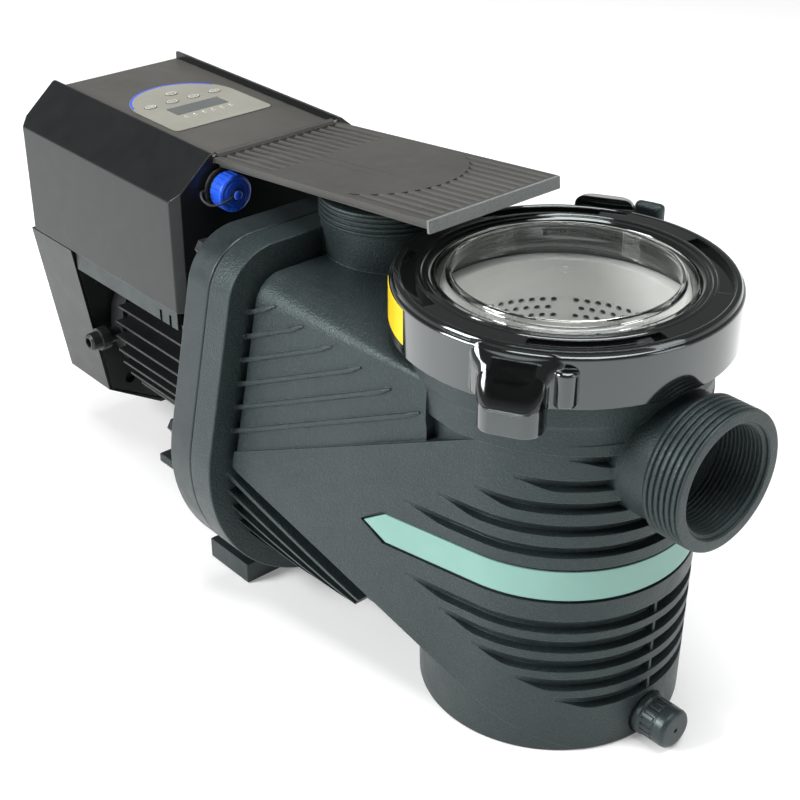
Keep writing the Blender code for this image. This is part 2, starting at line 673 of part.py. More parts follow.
def make_controller_base():
    base = box("controller_base", (-389, -79, 152), (-263.6, 79, 176), GRAINED)
    cut(base, box("under_channel", (-392, -76.2, 150), (-258, 76.2, 163.4)))
    cut(base, box("tray_hollow", (-386.4, -76.4, 166.4), (-266.2, 76.4, 180)))
    bm = bmesh.new()
    for x in (-378, -274):
        for y in (-66, 66):
            add_cylinder(bm, "Z", (x, y, 0), 4, 165, 172, 12)
    join(base, finish_mesh(bm, "standoffs", None, CUTTERS))
    bm = bmesh.new()
    for x in (-283, -272):
        add_box(bm, (x - 1.4, -82, 150), (x + 1.4, 82, 160))
    cut(base, finish_mesh(bm, "skirt_slots", None, CUTTERS))
    box("circuit_board", (-384, -73, 172.3), (-267, 73, 173.9), BOARD)
    for i, y in enumerate((-30, 24)):
        cylinder("capacitor_%d" % (i + 1), "X", (0, y, 188.3), 14, -350, -300, SATIN, 24)
    box("heat_spreader", (-296, -40, 174.2), (-276, 60, 196), ALU)


def cover_outline(inset):
    top = HOOD_LOW - GAP - inset
    right = [(HOOD_Y - inset, top), (63 - inset, 48), (20 - 0.4 * inset, 22 + inset)]
    return right + [(-y, z) for y, z in reversed(right)]


COVER_SCREWS = ((62, 140), (-62, 140), (44, 52), (-44, 52))


def make_rear_cover():
    cover = prism("rear_cover", cover_outline(0), HOOD_REAR, -391, mat=SATIN)
    cut(cover, prism("cover_hollow", cover_outline(WALL), HOOD_REAR + WALL, -380))
    bm = bmesh.new()
    for i in range(7):
        z = SHAFT_Z - 33 + 11 * i
        add_box(bm, (HOOD_REAR - 2, -42, z - 2.2), (HOOD_REAR + 4, 42, z + 2.2))
    cut(cover, finish_mesh(bm, "inlet_slots", None, CUTTERS))
    for i, (y, z) in enumerate(COVER_SCREWS):
        join(cover, cylinder("boss_%d" % i, "X", (0, y, z), 4.2, HOOD_REAR + 1, -395, segments=14))
        cut(cover, cylinder("boss_hole_%d" % i, "X", (0, y, z), 1.9, HOOD_REAR - 3, -410, segments=10))
        bm = bmesh.new()
        add_cylinder(bm, "X", (0, y, z), 1.5, HOOD_REAR - 1.5, -415, 10)
        screw = finish_mesh(bm, "cover_screw_%d" % (i + 1), STEEL, PARTS)
        join(screw, cylinder("screw_head_%d" % i, "X", (0, y, z), 3.4, HOOD_REAR - 2.6,
                             HOOD_REAR - GAP, segments=10))
    baffle = prism("fan_shroud", cover_outline(3.2), -394.4, -391.4, mat=GRAINED)
    cut(baffle, cylinder("shroud_hole", "X", (0, 0, SHAFT_Z), 40, -400, -380, segments=32))
    for i, (y, z) in enumerate(COVER_SCREWS):
        cut(baffle, cylinder("shroud_relief_%d" % i, "X", (0, y, z), 4.8, -400, -385, segments=14))


def make_cable_gland():
    gland = lathe("cable_gland", [(5.0, 82), (6.4, 80.5), (6.4, 74), (8.4, 74), (8.4, 67), (5.4, 67),
                                  (5.4, 58.6), (3.6, 58.6), (3.6, 82)], "Y", (-380, 0, 98), GRAINED, 16)
    gland.matrix_world = Matrix.Translation(Vector((-380, 0, 98)) * MM) @ Matrix.Rotation(
        math.radians(90), 4, "X")
    return gland


# ---------------------------------------------------------------- keypad, flap and socket cap

def keypad_outline(inset):
    """A straight front edge and a round rear edge, in (x, y)."""
    half = KEYPAD_HALF - inset
    centre_x = KEYPAD_X[0] + KEYPAD_HALF
    front = KEYPAD_X[1] - inset
    rear = arc(centre_x, KEYPAD_Y, half, 90, 270, 17)
    corner = 4.0
    lower = arc(front - corner, KEYPAD_Y - half + corner, corner, -90, 0, 4)
    upper = arc(front - corner, KEYPAD_Y + half - corner, corner, 0, 90, 4)
    return rear + lower + upper


def key_places():
    row = [("key_%d" % (i + 1), KEY_ROW_X, KEYPAD_Y + KEY_PITCH * (i - 1.5)) for i in range(4)]
    return row + [("key_5", KEY_ROW_X - 14.5, KEYPAD_Y)]


def key_cap(name, x, y, grow, low, high, mat=None):
    key = cylinder(name, "Z", (0, 0, 0), 4.3 + grow, low, high, mat, 16)
    key.matrix_world = Matrix.Translation((x * MM, y * MM, 0)) @ Matrix.Diagonal((0.72, 1.0, 1.0, 1.0))
    return key


def make_keypad():
    panel = prism("keypad_panel", keypad_outline(0), PANEL_Z + 0.1, PANEL_Z + 0.7, "XY", KEYPAD)
    for name, x, y in key_places():
        cut(panel, key_cap(name + "_hole", x, y, 0.4, PANEL_Z - 2, PANEL_Z + 3))
        key_cap(name, x, y, 0.0, PANEL_Z + 0.55, PANEL_Z + 1.25, KEYPAD)
    low, high = (-352.4, KEYPAD_Y - 20.5), (-338.2, KEYPAD_Y + 20.5)
    cut(panel, box("display_hole", (low[0] - GAP, low[1] - GAP, 260), (high[0] + GAP, high[1] + GAP, 270)))
    box("display_window", (*low, PANEL_Z + 0.1), (*high, PANEL_Z + 0.75), DISPLAY)


def flap_grooves():
    """Shallow grooves along the flap's inner face, left out of its smooth D-shaped zone."""
    bm = bmesh.new()
    pitch = 2 * FLAP_HALF / 15
    for i in range(14):
        y = -FLAP_HALF + pitch * (i + 1)
        add_box(bm, (6, y - 1.6, -0.8), (FLAP_LENGTH - 5, y + 1.6, 1))
    grooves = finish_mesh(bm, "flap_grooves", None, CUTTERS)
    zone = [(57, 51), (57, -51), (122, -51)]
    zone += arc(112, 0, 47.5, -72, 72, 15)
    zone += [(122, 51)]
    return cut(grooves, prism("flap_smooth_zone", zone, -3, 3, "XY"))


def make_display_flap():
    bm = bmesh.new()
    add_box(bm, (2.9, -FLAP_HALF, -3.4), (FLAP_LENGTH, FLAP_HALF, 0))
    flap = finish_mesh(bm, "display_flap", WARM, PARTS)
    join(flap, box("flap_step", (4.5, -FLAP_HALF + 2.2, -6.0), (FLAP_LENGTH - 1, FLAP_HALF - 2.2, -2)))
    join(flap, box("flap_lip", (FLAP_LENGTH - 2.6, -FLAP_HALF, -7.6), (FLAP_LENGTH, FLAP_HALF, -1)))
    join(flap, cylinder("flap_barrel", "Y", (0, 0, 0), 2.6, -46, 46, segments=20))
    join(flap, box("flap_web", (0, -46, -2.4), (5, 46, 0)))
    cut(flap, flap_grooves())
    cut(flap, cylinder("flap_pin_hole", "Y", (0, 0, 0), 1.4, -60, 60, segments=12))
    place = Matrix.Translation((HINGE_X * MM, 0, HINGE_Z * MM)) @ Matrix.Rotation(
        math.radians(-FLAP_TILT), 4, "Y")
    flap.matrix_world = place
    for step in flap.modifiers:
        step.object.matrix_world = place @ step.object.matrix_world
    zone = bpy.data.objects["flap_smooth_zone"]
    zone.matrix_world = place @ zone.matrix_world
    cylinder("hinge_pin", "Y", (HINGE_X, 0, HINGE_Z), 1.05, -51.8, 51.8, STEEL, 10)


def make_socket_cap():
    c = (0, CAP_Y, CAP_Z)
    socket = [(6.6, -240.5), (6.6, -248), (11, -248), (11, -253.6), (8.0, -253.6), (8.0, -262),
              (4, -262), (4, -240.5)]
    lathe("connector_socket", socket, "X", c, SATIN, 24)
    cap = lathe("connector_cap", [(2.1, -236), (CAP_R - 1.2, -236), (CAP_R, -237.4), (CAP_R, -247.6),
                                  (7.2, -247.6), (7.2, -239.5), (2.1, -239.5)], "X", c, BLUE, 24)
    bm = bmesh.new()
    for i in range(12):
        turn = Matrix.Translation((0, CAP_Y, CAP_Z)) @ Matrix.Rotation(math.radians(30 * i), 4, "X")
        add_box(bm, (-248, CAP_R - 0.7, -1.1), (-238.5, CAP_R + 2, 1.1), turn)
    cut(cap, finish_mesh(bm, "cap_flutes", None, CUTTERS))
    lathe("cap_button", [(0, -232.6), (2.6, -232.6), (3.2, -233.4), (3.2, -234.2), (1.7, -234.2),
                         (1.7, -239.8), (3.2, -239.8), (3.2, -240.2), (0, -240.2)], "X", c, BLUE, 16, False)
    make_cap_tether()


def make_cap_tether():
    """Strap from an eye behind the button, looping beside the cap to a ring on the socket's neck."""
    eye = lathe("cap_tether", [(4.0, -234.5), (4.0, -235.7), (2.0, -235.7), (2.0, -234.5)], "X",
                (0, CAP_Y, CAP_Z), RUBBER, 16)
    route = [(-235.1, CAP_Y - 3.2, CAP_Z - 0.8), (-235.1, CAP_Y - 9, CAP_Z - 2.4),
             (-236.0, CAP_Y - 14, CAP_Z - 3.6), (-239.0, CAP_Y - 18, CAP_Z - 3.4),
             (-243.5, CAP_Y - 20, CAP_Z - 1.0), (-247.5, CAP_Y - 18.5, CAP_Z + 1.6),
             (-250.0, CAP_Y - 15.5, CAP_Z + 1.4), (-250.8, CAP_Y - 12.2, CAP_Z + 0.6)]
    curve = bpy.data.curves.new("strap_route", "CURVE")
    curve.dimensions = "3D"
    curve.bevel_depth = 0.75 * MM
    curve.bevel_resolution = 1
    curve.use_fill_caps = True
    spline = curve.splines.new("POLY")
    smooth = smooth_route(route, 3)
    spline.points.add(len(smooth) - 1)
    for point, place in zip(spline.points, smooth):
        point.co = (*[v * MM for v in place], 1.0)
    strand = bpy.data.objects.new("strap_curve", curve)
    CUTTERS.objects.link(strand)
    strap = to_mesh(strand, "strap_strand")
    ring = lathe("strap_ring", [(13.2, -250.0), (13.2, -251.6), (11.4, -251.6), (11.4, -250.0)], "X",
                 (0, CAP_Y, CAP_Z), None, 16)
    join(eye, strap, ring)


def smooth_route(points, between):
    """Catmull-Rom points through a route."""
    out = []
    last = len(points) - 1
    for i in range(last):
        p0, p1 = Vector(points[max(i - 1, 0)]), Vector(points[i])
        p2, p3 = Vector(points[i + 1]), Vector(points[min(i + 2, last)])
        for k in range(between):
            t = k / between
            out.append(0.5 * (2 * p1 + (p2 - p0) * t + (2 * p0 - 5 * p1 + 4 * p2 - p3) * t * t
                              + (3 * p1 - p0 - 3 * p2 + p3) * t ** 3))
    out.append(Vector(points[last]))
    return out


def to_mesh(curve_object, name):
    """Turn a curve object into a welded mesh object among the cutters."""
    bpy.context.view_layer.update()
    graph = bpy.context.evaluated_depsgraph_get()
    mesh = bpy.data.meshes.new_from_object(curve_object.evaluated_get(graph))
    bm = bmesh.new()
    bm.from_mesh(mesh)
    bmesh.ops.remove_doubles(bm, verts=bm.verts, dist=0.000001)
    bmesh.ops.recalc_face_normals(bm, faces=bm.faces)
    bm.to_mesh(mesh)
    bm.free()
    obj = bpy.data.objects.new(name, mesh)
    obj.matrix_world = curve_object.matrix_world
    CUTTERS.objects.link(obj)
    obj.hide_render = True
    obj.display_type = "WIRE"
    bpy.data.objects.remove(curve_object, do_unlink=True)
    return obj


make_pump_body()
make_side_band()
make_flange_seal()
make_seal_plate()
make_flange_bolts()
make_wet_end()
make_lid()
make_lock_ring()
make_basket()
make_drain_plug()
make_motor()
make_hood()
make_controller_base()
make_rear_cover()
make_cable_gland()
make_keypad()
make_display_flap()
make_socket_cap()
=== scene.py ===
"""Looks for the pool pump: detailed pieces, procedural materials, a pale floor and soft studio light.
Lengths in the shape code are millimetres, as on the CAD frame: +X out of the suction port, +Z up,
the pot's axis at x = y = 0, the floor at z = 0."""

import math

import bmesh
import bpy
from mathutils import Matrix, Vector
from mathutils.bvhtree import BVHTree


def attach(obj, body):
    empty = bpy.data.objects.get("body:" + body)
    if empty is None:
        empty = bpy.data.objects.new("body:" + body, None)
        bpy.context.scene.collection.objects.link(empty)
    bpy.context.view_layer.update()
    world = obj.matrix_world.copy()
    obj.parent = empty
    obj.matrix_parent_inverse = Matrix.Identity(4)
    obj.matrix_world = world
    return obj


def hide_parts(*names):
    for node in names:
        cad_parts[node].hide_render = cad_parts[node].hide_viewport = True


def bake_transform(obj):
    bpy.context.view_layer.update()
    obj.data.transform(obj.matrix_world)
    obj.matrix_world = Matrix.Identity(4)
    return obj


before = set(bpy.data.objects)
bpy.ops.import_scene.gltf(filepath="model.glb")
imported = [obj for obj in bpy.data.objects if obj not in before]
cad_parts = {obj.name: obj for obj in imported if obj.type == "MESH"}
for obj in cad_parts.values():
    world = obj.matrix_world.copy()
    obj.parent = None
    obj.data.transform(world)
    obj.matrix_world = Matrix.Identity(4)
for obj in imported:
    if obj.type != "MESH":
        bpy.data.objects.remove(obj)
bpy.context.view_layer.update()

MM = 0.001
SCENE = bpy.context.scene

# ---------------- the frame's driving sizes, in millimetres

POT_CX, POT_R_BASE, POT_R_TOP, POT_HULL_TOP = 3, 78.5, 81.5, 205.0
LOWER_ARC, UPPER_ARC = (30, 103, 98), (72, 211, 35)  # the flange's corners: y, z, radius
FLANGE_FRONT, PARTING_X, PLATE_REAR, CHEEK_X = -163, -183, -205, -158.0
CHEEK_INSET, SHOULDER_INSET = 13.6, 2.2
NECK_R, SHOULDER_TOP, UNDERSIDE = 80.2, 218, 36.0
COLLAR_TOP, COLLAR_R = 248, 85.0
SHAFT_Z, SUCTION_Z, DISCHARGE_X = 103, 187.9, -147.0
SUCTION_FACE, DISCHARGE_TOP, BORE_R, MOUTH_R = 119.3, 265, 30.5, 33.4
HOOD_REAR, HOOD_FRONT, HOOD_LOW, PANEL_Z = -445, -254, 166.5, 263.6
HINGE_X, HINGE_Z, FLAP_LENGTH, FLAP_HALF, FLAP_TILT = -256.5, 266, 203.5, 49.8, 6.3
CAP_Y, CAP_Z, DRAIN_Z = -46.5, 246.6, 13.2
KEYPAD_X, KEYPAD_Y, KEYPAD_HALF = (-397, -312.5), 1, 39.0
GRIP_LOW = 221.7
COLLAR_LUG, RING_LUG, LUG_HALF, POCKET, POCKET_HALF = 26, 56, 9, -35.5, 24  # azimuths in degrees
LOW_SCOOPS = ((84.5, 110), (71, 96), (57.5, 80), (44, 62), (30.5, 44))  # height, reach in degrees
HIGH_SCOOPS = ((191, 44), (177, 64), (163, 80), (149, 96), (135, 110))
POT, SHAFT, SUCTION = (POT_CX, 0, 0), (0, 0, SHAFT_Z), (0, 0, SUCTION_Z)
CAP, DRAIN = (0, CAP_Y, CAP_Z), (0, 0, DRAIN_Z)
WIDE = 150  # half the width of the prisms that cut or pick out side view regions

# ---------------- mesh helpers

AXIS_TURN = {
    "X": Matrix.Rotation(math.radians(90), 4, "Y"),
    "Y": Matrix.Rotation(math.radians(-90), 4, "X"),
    "Z": Matrix.Identity(4),
}


def finish_mesh(bm, name, matrix=None):
    """A bmesh in millimetres becomes an object in metres with its place in its mesh."""
    if matrix:
        bm.transform(matrix)
    bmesh.ops.scale(bm, vec=(MM, MM, MM), verts=bm.verts)
    bmesh.ops.recalc_face_normals(bm, faces=bm.faces)
    mesh = bpy.data.meshes.new(name)
    bm.to_mesh(mesh)
    bm.free()
    obj = bpy.data.objects.new(name, mesh)
    SCENE.collection.objects.link(obj)
    return obj


def add_box(bm, low, high, matrix=None):
    size = [high[i] - low[i] for i in range(3)]
    middle = [(high[i] + low[i]) / 2 for i in range(3)]
    place = Matrix.Translation(middle) @ Matrix.Diagonal((*size, 1))
    if matrix:
        place = matrix @ place
    bmesh.ops.create_cube(bm, size=1, matrix=place)


def add_cylinder(bm, axis, centre, radius, start, end, segments=64, end_radius=None):
    place = Vector(centre)
    place["XYZ".index(axis)] = (start + end) / 2
    bmesh.ops.create_cone(
        bm, cap_ends=True, segments=segments, radius1=radius,
        radius2=radius if end_radius is None else end_radius, depth=end - start,
        matrix=Matrix.Translation(place) @ AXIS_TURN[axis])


def box(name, low, high):
    bm = bmesh.new()
    add_box(bm, low, high)
    return finish_mesh(bm, name)


def side_box(name, side, x, y, z):
    """A box on one side of the middle plane; y is measured away from that plane."""
    near, far = sorted((side * y[0], side * y[1]))
    return box(name, (x[0], near, z[0]), (x[1], far, z[1]))


def cylinder(name, axis, centre, radius, start, end, segments=64, end_radius=None):
    bm = bmesh.new()
    add_cylinder(bm, axis, centre, radius, start, end, segments, end_radius)
    return finish_mesh(bm, name)


def prism(name, outline, start, end, plane="YZ"):
    """A flat outline extruded: plane YZ along X, XZ along Y, XY along Z."""
    place = {
        "YZ": lambda a, b, c: (c, a, b),
        "XZ": lambda a, b, c: (a, c, b),
        "XY": lambda a, b, c: (a, b, c),
    }[plane]
    bm = bmesh.new()
    near = [bm.verts.new(place(a, b, start)) for a, b in outline]
    far = [bm.verts.new(place(a, b, end)) for a, b in outline]
    bm.faces.new(near)
    bm.faces.new(list(reversed(far)))
    for i in range(len(outline)):
        k = (i + 1) % len(outline)
        bm.faces.new((near[i], near[k], far[k], far[i]))
    return finish_mesh(bm, name)


def lathe(name, profile, axis, centre, steps=128, closed=True):
    """A (radius, height) profile turned about an axis; an open profile ends on the axis."""
    bm = bmesh.new()
    rings = []
    for r, h in profile:
        if r < 1e-6:
            rings.append([bm.verts.new((0, 0, h))] * steps)
        else:
            rings.append([bm.verts.new((r * math.cos(2 * math.pi * k / steps),
                                        r * math.sin(2 * math.pi * k / steps), h))
                          for k in range(steps)])
    pairs = list(zip(rings, rings[1:]))
    if closed:
        pairs.append((rings[-1], rings[0]))
    for a, b in pairs:
        for k in range(steps):
            m = (k + 1) % steps
            corners = []
            for v in (a[k], a[m], b[m], b[k]):
                if v not in corners:
                    corners.append(v)
            if len(corners) > 2:
                bm.faces.new(corners)
    return finish_mesh(bm, name, Matrix.Translation(centre) @ AXIS_TURN[axis])


def hull_mesh(point_sets):
    bm = bmesh.new()
    for points in point_sets:
        for point in points:
            bm.verts.new(point)
    result = bmesh.ops.convex_hull(bm, input=bm.verts)
    unused = {v for key in ("geom_interior", "geom_unused") for v in result[key]
              if isinstance(v, bmesh.types.BMVert)}
    bmesh.ops.delete(bm, geom=list(unused), context="VERTS")
    bmesh.ops.dissolve_limit(bm, angle_limit=math.radians(0.1), verts=bm.verts, edges=bm.edges)
    return bm


def bake(obj):
    """Apply an object's modifiers to its mesh."""
    graph = bpy.context.evaluated_depsgraph_get()
    mesh = bpy.data.meshes.new_from_object(obj.evaluated_get(graph))
    obj.modifiers.clear()
    obj.data = mesh
    return obj


def boolean(obj, other, operation):
    step = obj.modifiers.new("boolean", "BOOLEAN")
    step.operation = operation
    step.solver = "EXACT"
    step.object = other
    bake(obj)
    bpy.data.objects.remove(other, do_unlink=True)
    return obj


def cut(obj, *others):
    for other in others:
        boolean(obj, other, "DIFFERENCE")
    return obj


def join(obj, *others):
    for other in others:
        boolean(obj, other, "UNION")
    return obj


def merge(obj, *others):
    """Put other objects' meshes into obj without cutting them into each other."""
    bm = bmesh.new()
    bm.from_mesh(obj.data)
    for other in others:
        bm.from_mesh(other.data)
        bpy.data.objects.remove(other, do_unlink=True)
    bm.to_mesh(obj.data)
    bm.free()
    return obj


def bevel(obj, width, segments=3, angle=30):
    step = obj.modifiers.new("bevel", "BEVEL")
    step.width = width * MM
    step.segments = segments
    step.limit_method = "ANGLE"
    step.angle_limit = math.radians(angle)
    step.use_clamp_overlap = True
    return bake(obj)


def arc(cx, cy, radius, first, last, count):
    turn = math.radians(last - first) / (count - 1)
    start = math.radians(first)
    return [(cx + radius * math.cos(start + turn * i), cy + radius * math.sin(start + turn * i))
            for i in range(count)]


def ring_sector(name, inner, outer, low, high, first, last, steps=24):
    far = arc(0, 0, outer, first, last, steps)
    near = arc(0, 0, inner, first, last, steps)
    bm = bmesh.new()
    rows = []
    for (ax, ay), (bx, by) in zip(near, far):
        corners = ((ax, ay, low), (bx, by, low), (bx, by, high), (ax, ay, high))
        rows.append([bm.verts.new(c) for c in corners])
    skin_rows(bm, rows)
    return finish_mesh(bm, name)


def skin_rows(bm, rows):
    """Side faces between loops of corners, and a cap at each end."""
    count = len(rows[0])
    for a, b in zip(rows, rows[1:]):
        for i in range(count):
            k = (i + 1) % count
            bm.faces.new((a[i], a[k], b[k], b[i]))
    bm.faces.new(rows[0])
    bm.faces.new(list(reversed(rows[-1])))


def ease(t):
    t = min(1, max(0, t))
    return t * t * (3 - 2 * t)


def flutes(name, centre, count, first, low, high):
    """Boxes spaced round an axis along X, which cut a knob's flutes."""
    bm = bmesh.new()
    for i in range(count):
        azimuth = math.radians(360 / count * i + first)
        add_box(bm, low, high, Matrix.Translation(centre) @ Matrix.Rotation(azimuth, 4, "X"))
    return finish_mesh(bm, name)


def tube(name, points, radius):
    """A round strand along a route of points."""
    sides = 12
    bm = bmesh.new()
    rows = []
    last = len(points) - 1
    side = None
    for i, p in enumerate(points):
        ahead = (Vector(points[min(i + 1, last)]) - Vector(points[max(i - 1, 0)])).normalized()
        if side is None:
            side = ahead.cross(Vector((0.3, 0.1, 1))).normalized()
        side = (side - ahead * side.dot(ahead)).normalized()
        up = ahead.cross(side)
        rows.append([bm.verts.new(Vector(p) + (side * math.cos(a) + up * math.sin(a)) * radius)
                     for a in (2 * math.pi * k / sides for k in range(sides))])
    skin_rows(bm, rows)
    return finish_mesh(bm, name)


# ---------------- materials


def set_inputs(node, values):
    for key, value in values.items():
        node.inputs[key].default_value = value


class Nodes:
    """Short spelling for the node tree of a material or world."""

    def __init__(self, owner):
        self.tree = owner.node_tree

    def add(self, kind, values=None, **settings):
        node = self.tree.nodes.new(kind)
        for key, value in settings.items():
            setattr(node, key, value)
        set_inputs(node, values or {})
        return node

    def link(self, a, b):
        self.tree.links.new(a, b)

    def noise(self, coord, scale, detail=3, rough=0.55):
        node = self.add("ShaderNodeTexNoise", {"Scale": scale, "Detail": detail, "Roughness": rough})
        self.link(coord, node.inputs["Vector"])
        return node.outputs["Fac"]

    def spread(self, value, low, high, from_low=0.3, from_high=0.7):
        node = self.add("ShaderNodeMapRange", {"From Min": from_low, "From Max": from_high,
                                               "To Min": low, "To Max": high})
        self.link(value, node.inputs["Value"])
        return node.outputs["Result"]

    def mix(self, factor, a, b):
        node = self.add("ShaderNodeMix", data_type="RGBA")
        self.link(factor, node.inputs["Factor"])
        node.inputs["A"].default_value = (*a, 1)
        node.inputs["B"].default_value = (*b, 1)
        return node.outputs["Result"]

    def over(self, colour, top, factor):
        """A plain colour laid over a linked one."""
        node = self.add("ShaderNodeMix", data_type="RGBA")
        self.link(factor, node.inputs["Factor"])
        self.link(colour, node.inputs["A"])
        node.inputs["B"].default_value = (*top, 1)
        return node.outputs["Result"]

    def bump(self, shader, height, strength, depth, normal=None):
        node = self.add("ShaderNodeBump", {"Strength": strength, "Distance": depth * MM})
        self.link(height, node.inputs["Height"])
        if normal is not None:
            self.link(normal, node.inputs["Normal"])
        self.link(node.outputs["Normal"], shader.inputs["Normal"])


def new_material(name, values):
    """A material with its nodes, its shader with plain values set, and object coordinates."""
    mat = bpy.data.materials.new(name)
    mat.use_nodes = True
    shader = mat.node_tree.nodes["Principled BSDF"]
    set_inputs(shader, values)
    n = Nodes(mat)
    return mat, n, shader, n.add("ShaderNodeTexCoord").outputs["Object"]


WHITE = (1, 1, 1)
GRIT_COLOUR, GRIT_SCALE = (0.11, 0.115, 0.115), 1150.0
PATCHY_WEAR_AND_HIGHLIGHT, PATCHY_GLOSS = 160, 75.0  # noise scales of the edges' patchy wear and painted highlight, and of the roughness


def plastic(name, dark, light, rough, grain, mottle, edge, lift=None, metallic=0, coat=0,
            specular=0.5, speck=0, tint=WHITE, ior=1.5):
    """A moulded or cast surface: mottled colour, varied roughness, fine grain and rounded edges,
    lightened both as wear and as a painted highlight.

    rough is the lowest and highest roughness, grain the bump's scale, strength and depth in mm,
    mottle the scale of the colour's patches, edge the edges' radius in mm, lift the colour of the
    edges' wear and painted highlight."""
    mat, n, shader, coord = new_material(name, {
        "Metallic": metallic, "Coat Weight": coat, "Coat Roughness": 0.08,
        "Specular IOR Level": specular, "Specular Tint": (*tint, 1), "IOR": ior})
    colour = n.mix(n.spread(n.noise(coord, mottle, 4), 0, 1), dark, light)
    if speck:
        grit = n.spread(n.noise(coord, GRIT_SCALE, 1), 0, speck, 0.5, 0.75)
        colour = n.over(colour, GRIT_COLOUR, grit)
    rounded = n.add("ShaderNodeBevel", {"Radius": edge * MM}, samples=4).outputs["Normal"]
    # Edges lightened with the lift colour, broken up in patches: partly wear, partly a painted
    # highlight along the rounded edges.
    if lift:
        compare = n.add("ShaderNodeVectorMath", operation="DOT_PRODUCT")
        n.link(rounded, compare.inputs[0])
        n.link(n.add("ShaderNodeNewGeometry").outputs["Normal"], compare.inputs[1])
        worn_and_highlit_edge = n.add("ShaderNodeMath", operation="MULTIPLY")
        n.link(n.spread(compare.outputs["Value"], 1, 0, 0.72, 0.97), worn_and_highlit_edge.inputs[0])
        n.link(n.spread(n.noise(coord, PATCHY_WEAR_AND_HIGHLIGHT, 3), 0.25, 1), worn_and_highlit_edge.inputs[1])
        colour = n.over(colour, lift, worn_and_highlit_edge.outputs["Value"])
    n.link(colour, shader.inputs["Base Color"])
    n.link(n.spread(n.noise(coord, PATCHY_GLOSS, 3), rough[0], rough[1]), shader.inputs["Roughness"])
    scale, strength, depth = grain
    n.bump(shader, n.noise(coord, scale, 2, 0.6), strength, depth, rounded)
    return mat


GRAINED = plastic("grained_black_plastic", (0.0115, 0.0175, 0.018), (0.017, 0.0245, 0.025),
                  (0.34, 0.46), (820, 1, 0.4), 18, 0.7, (0.1, 0.125, 0.125), specular=0.4,
                  speck=0.22, tint=(0.82, 1, 1))
SMOOTH_BODY = plastic("smooth_black_plastic", (0.008, 0.0115, 0.0125), (0.0145, 0.02, 0.021),
                      (0.34, 0.46), (900, 0.4, 0.2), 14, 0.6, (0.09, 0.105, 0.11), speck=0.15,
                      tint=(0.84, 1, 1))
GLOSS = plastic("gloss_black_plastic", (0.0022, 0.0025, 0.0026), (0.004, 0.0045, 0.0046),
                (0.06, 0.11), (420, 0.03, 0.05), 30, 0.8, (0.02, 0.022, 0.023), coat=1,
                tint=(0.85, 1, 1), ior=1.62)
# The hood's lift colour is mostly a painted highlight: a light line along its bevelled front edges.
HOOD_SIDE = plastic("satin_black_plastic", (0.0065, 0.007, 0.0075), (0.0095, 0.0102, 0.0105),
                    (0.27, 0.34), (1700, 0.12, 0.08), 9, 0.5, (0.2, 0.21, 0.21), specular=0.36,
                    tint=(0.93, 1, 1))
WARM = plastic("warm_grey_plastic", (0.04, 0.039, 0.0355), (0.052, 0.051, 0.0465),
               (0.4, 0.5), (1500, 0.22, 0.1), 16, 0.5, (0.14, 0.14, 0.135))
LIP = plastic("speckled_lip_plastic", (0.13, 0.14, 0.14), (0.19, 0.2, 0.2),
              (0.4, 0.55), (700, 0.2, 0.1), 900, 0.4)
TEAL = plastic("teal_print", (0.17, 0.34, 0.29), (0.22, 0.4, 0.345), (0.42, 0.52), (1300, 0.08, 0.05),
               9, 0.4)
BASKET = plastic("basket_plastic", (0.82, 0.84, 0.8), (0.9, 0.91, 0.88), (0.35, 0.45),
                 (500, 0.1, 0.1), 30, 0.5)
RUBBER = plastic("seal_rubber", (0.008, 0.008, 0.008), (0.014, 0.014, 0.014), (0.55, 0.7),
                 (700, 0.3, 0.15), 60, 0.4)
BLUE = plastic("cap_blue_plastic", (0.008, 0.06, 0.5), (0.014, 0.1, 0.7), (0.25, 0.35),
               (800, 0.1, 0.1), 90, 0.5, (0.1, 0.25, 0.9), coat=0.2)
STEEL = plastic("stainless_steel", (0.45, 0.45, 0.44), (0.6, 0.6, 0.59), (0.22, 0.36),
                (600, 0.12, 0.05), 120, 0.3, metallic=1)
CAST = plastic("painted_cast_metal", (0.01, 0.011, 0.012), (0.018, 0.019, 0.02), (0.38, 0.5),
               (500, 0.3, 0.2), 26, 0.5, (0.06, 0.06, 0.062), metallic=0.2)
WINDING = plastic("winding_and_core_steel", (0.16, 0.09, 0.05), (0.26, 0.15, 0.08), (0.35, 0.5),
                  (1400, 0.4, 0.2), 80, 0.3, metallic=0.8)
BLACK_STEEL = plastic("black_oxide_steel", (0.012, 0.013, 0.014), (0.02, 0.021, 0.022), (0.3, 0.42),
                      (600, 0.12, 0.05), 120, 0.3, (0.12, 0.12, 0.12), metallic=0.4)
BOARD = plastic("circuit_board_green", (0.01, 0.09, 0.04), (0.02, 0.14, 0.06), (0.35, 0.5),
                (900, 0.15, 0.1), 140, 0.3)
KEYPAD = plastic("keypad_film", (0.22, 0.217, 0.185), (0.265, 0.26, 0.225), (0.38, 0.48),
                 (1900, 0.1, 0.05), 24, 0.3)
PANEL = plastic("top_panel_plastic", (0.058, 0.057, 0.052), (0.078, 0.076, 0.07), (0.36, 0.46),
                (1500, 0.18, 0.1), 14, 0.5)
LCD = plastic("display_glass", (0.085, 0.095, 0.09), (0.105, 0.115, 0.11), (0.1, 0.16),
              (300, 0.02, 0.02), 40, 0.2, coat=0.6)
INK = plastic("white_ink", (0.6, 0.6, 0.58), (0.75, 0.75, 0.72), (0.4, 0.5), (1500, 0.05, 0.02),
              300, 0.1)
BLUE_INK = plastic("blue_ink", (0.03, 0.08, 0.55), (0.06, 0.11, 0.75), (0.3, 0.4), (1500, 0.05, 0.02),
                   60, 0.1)
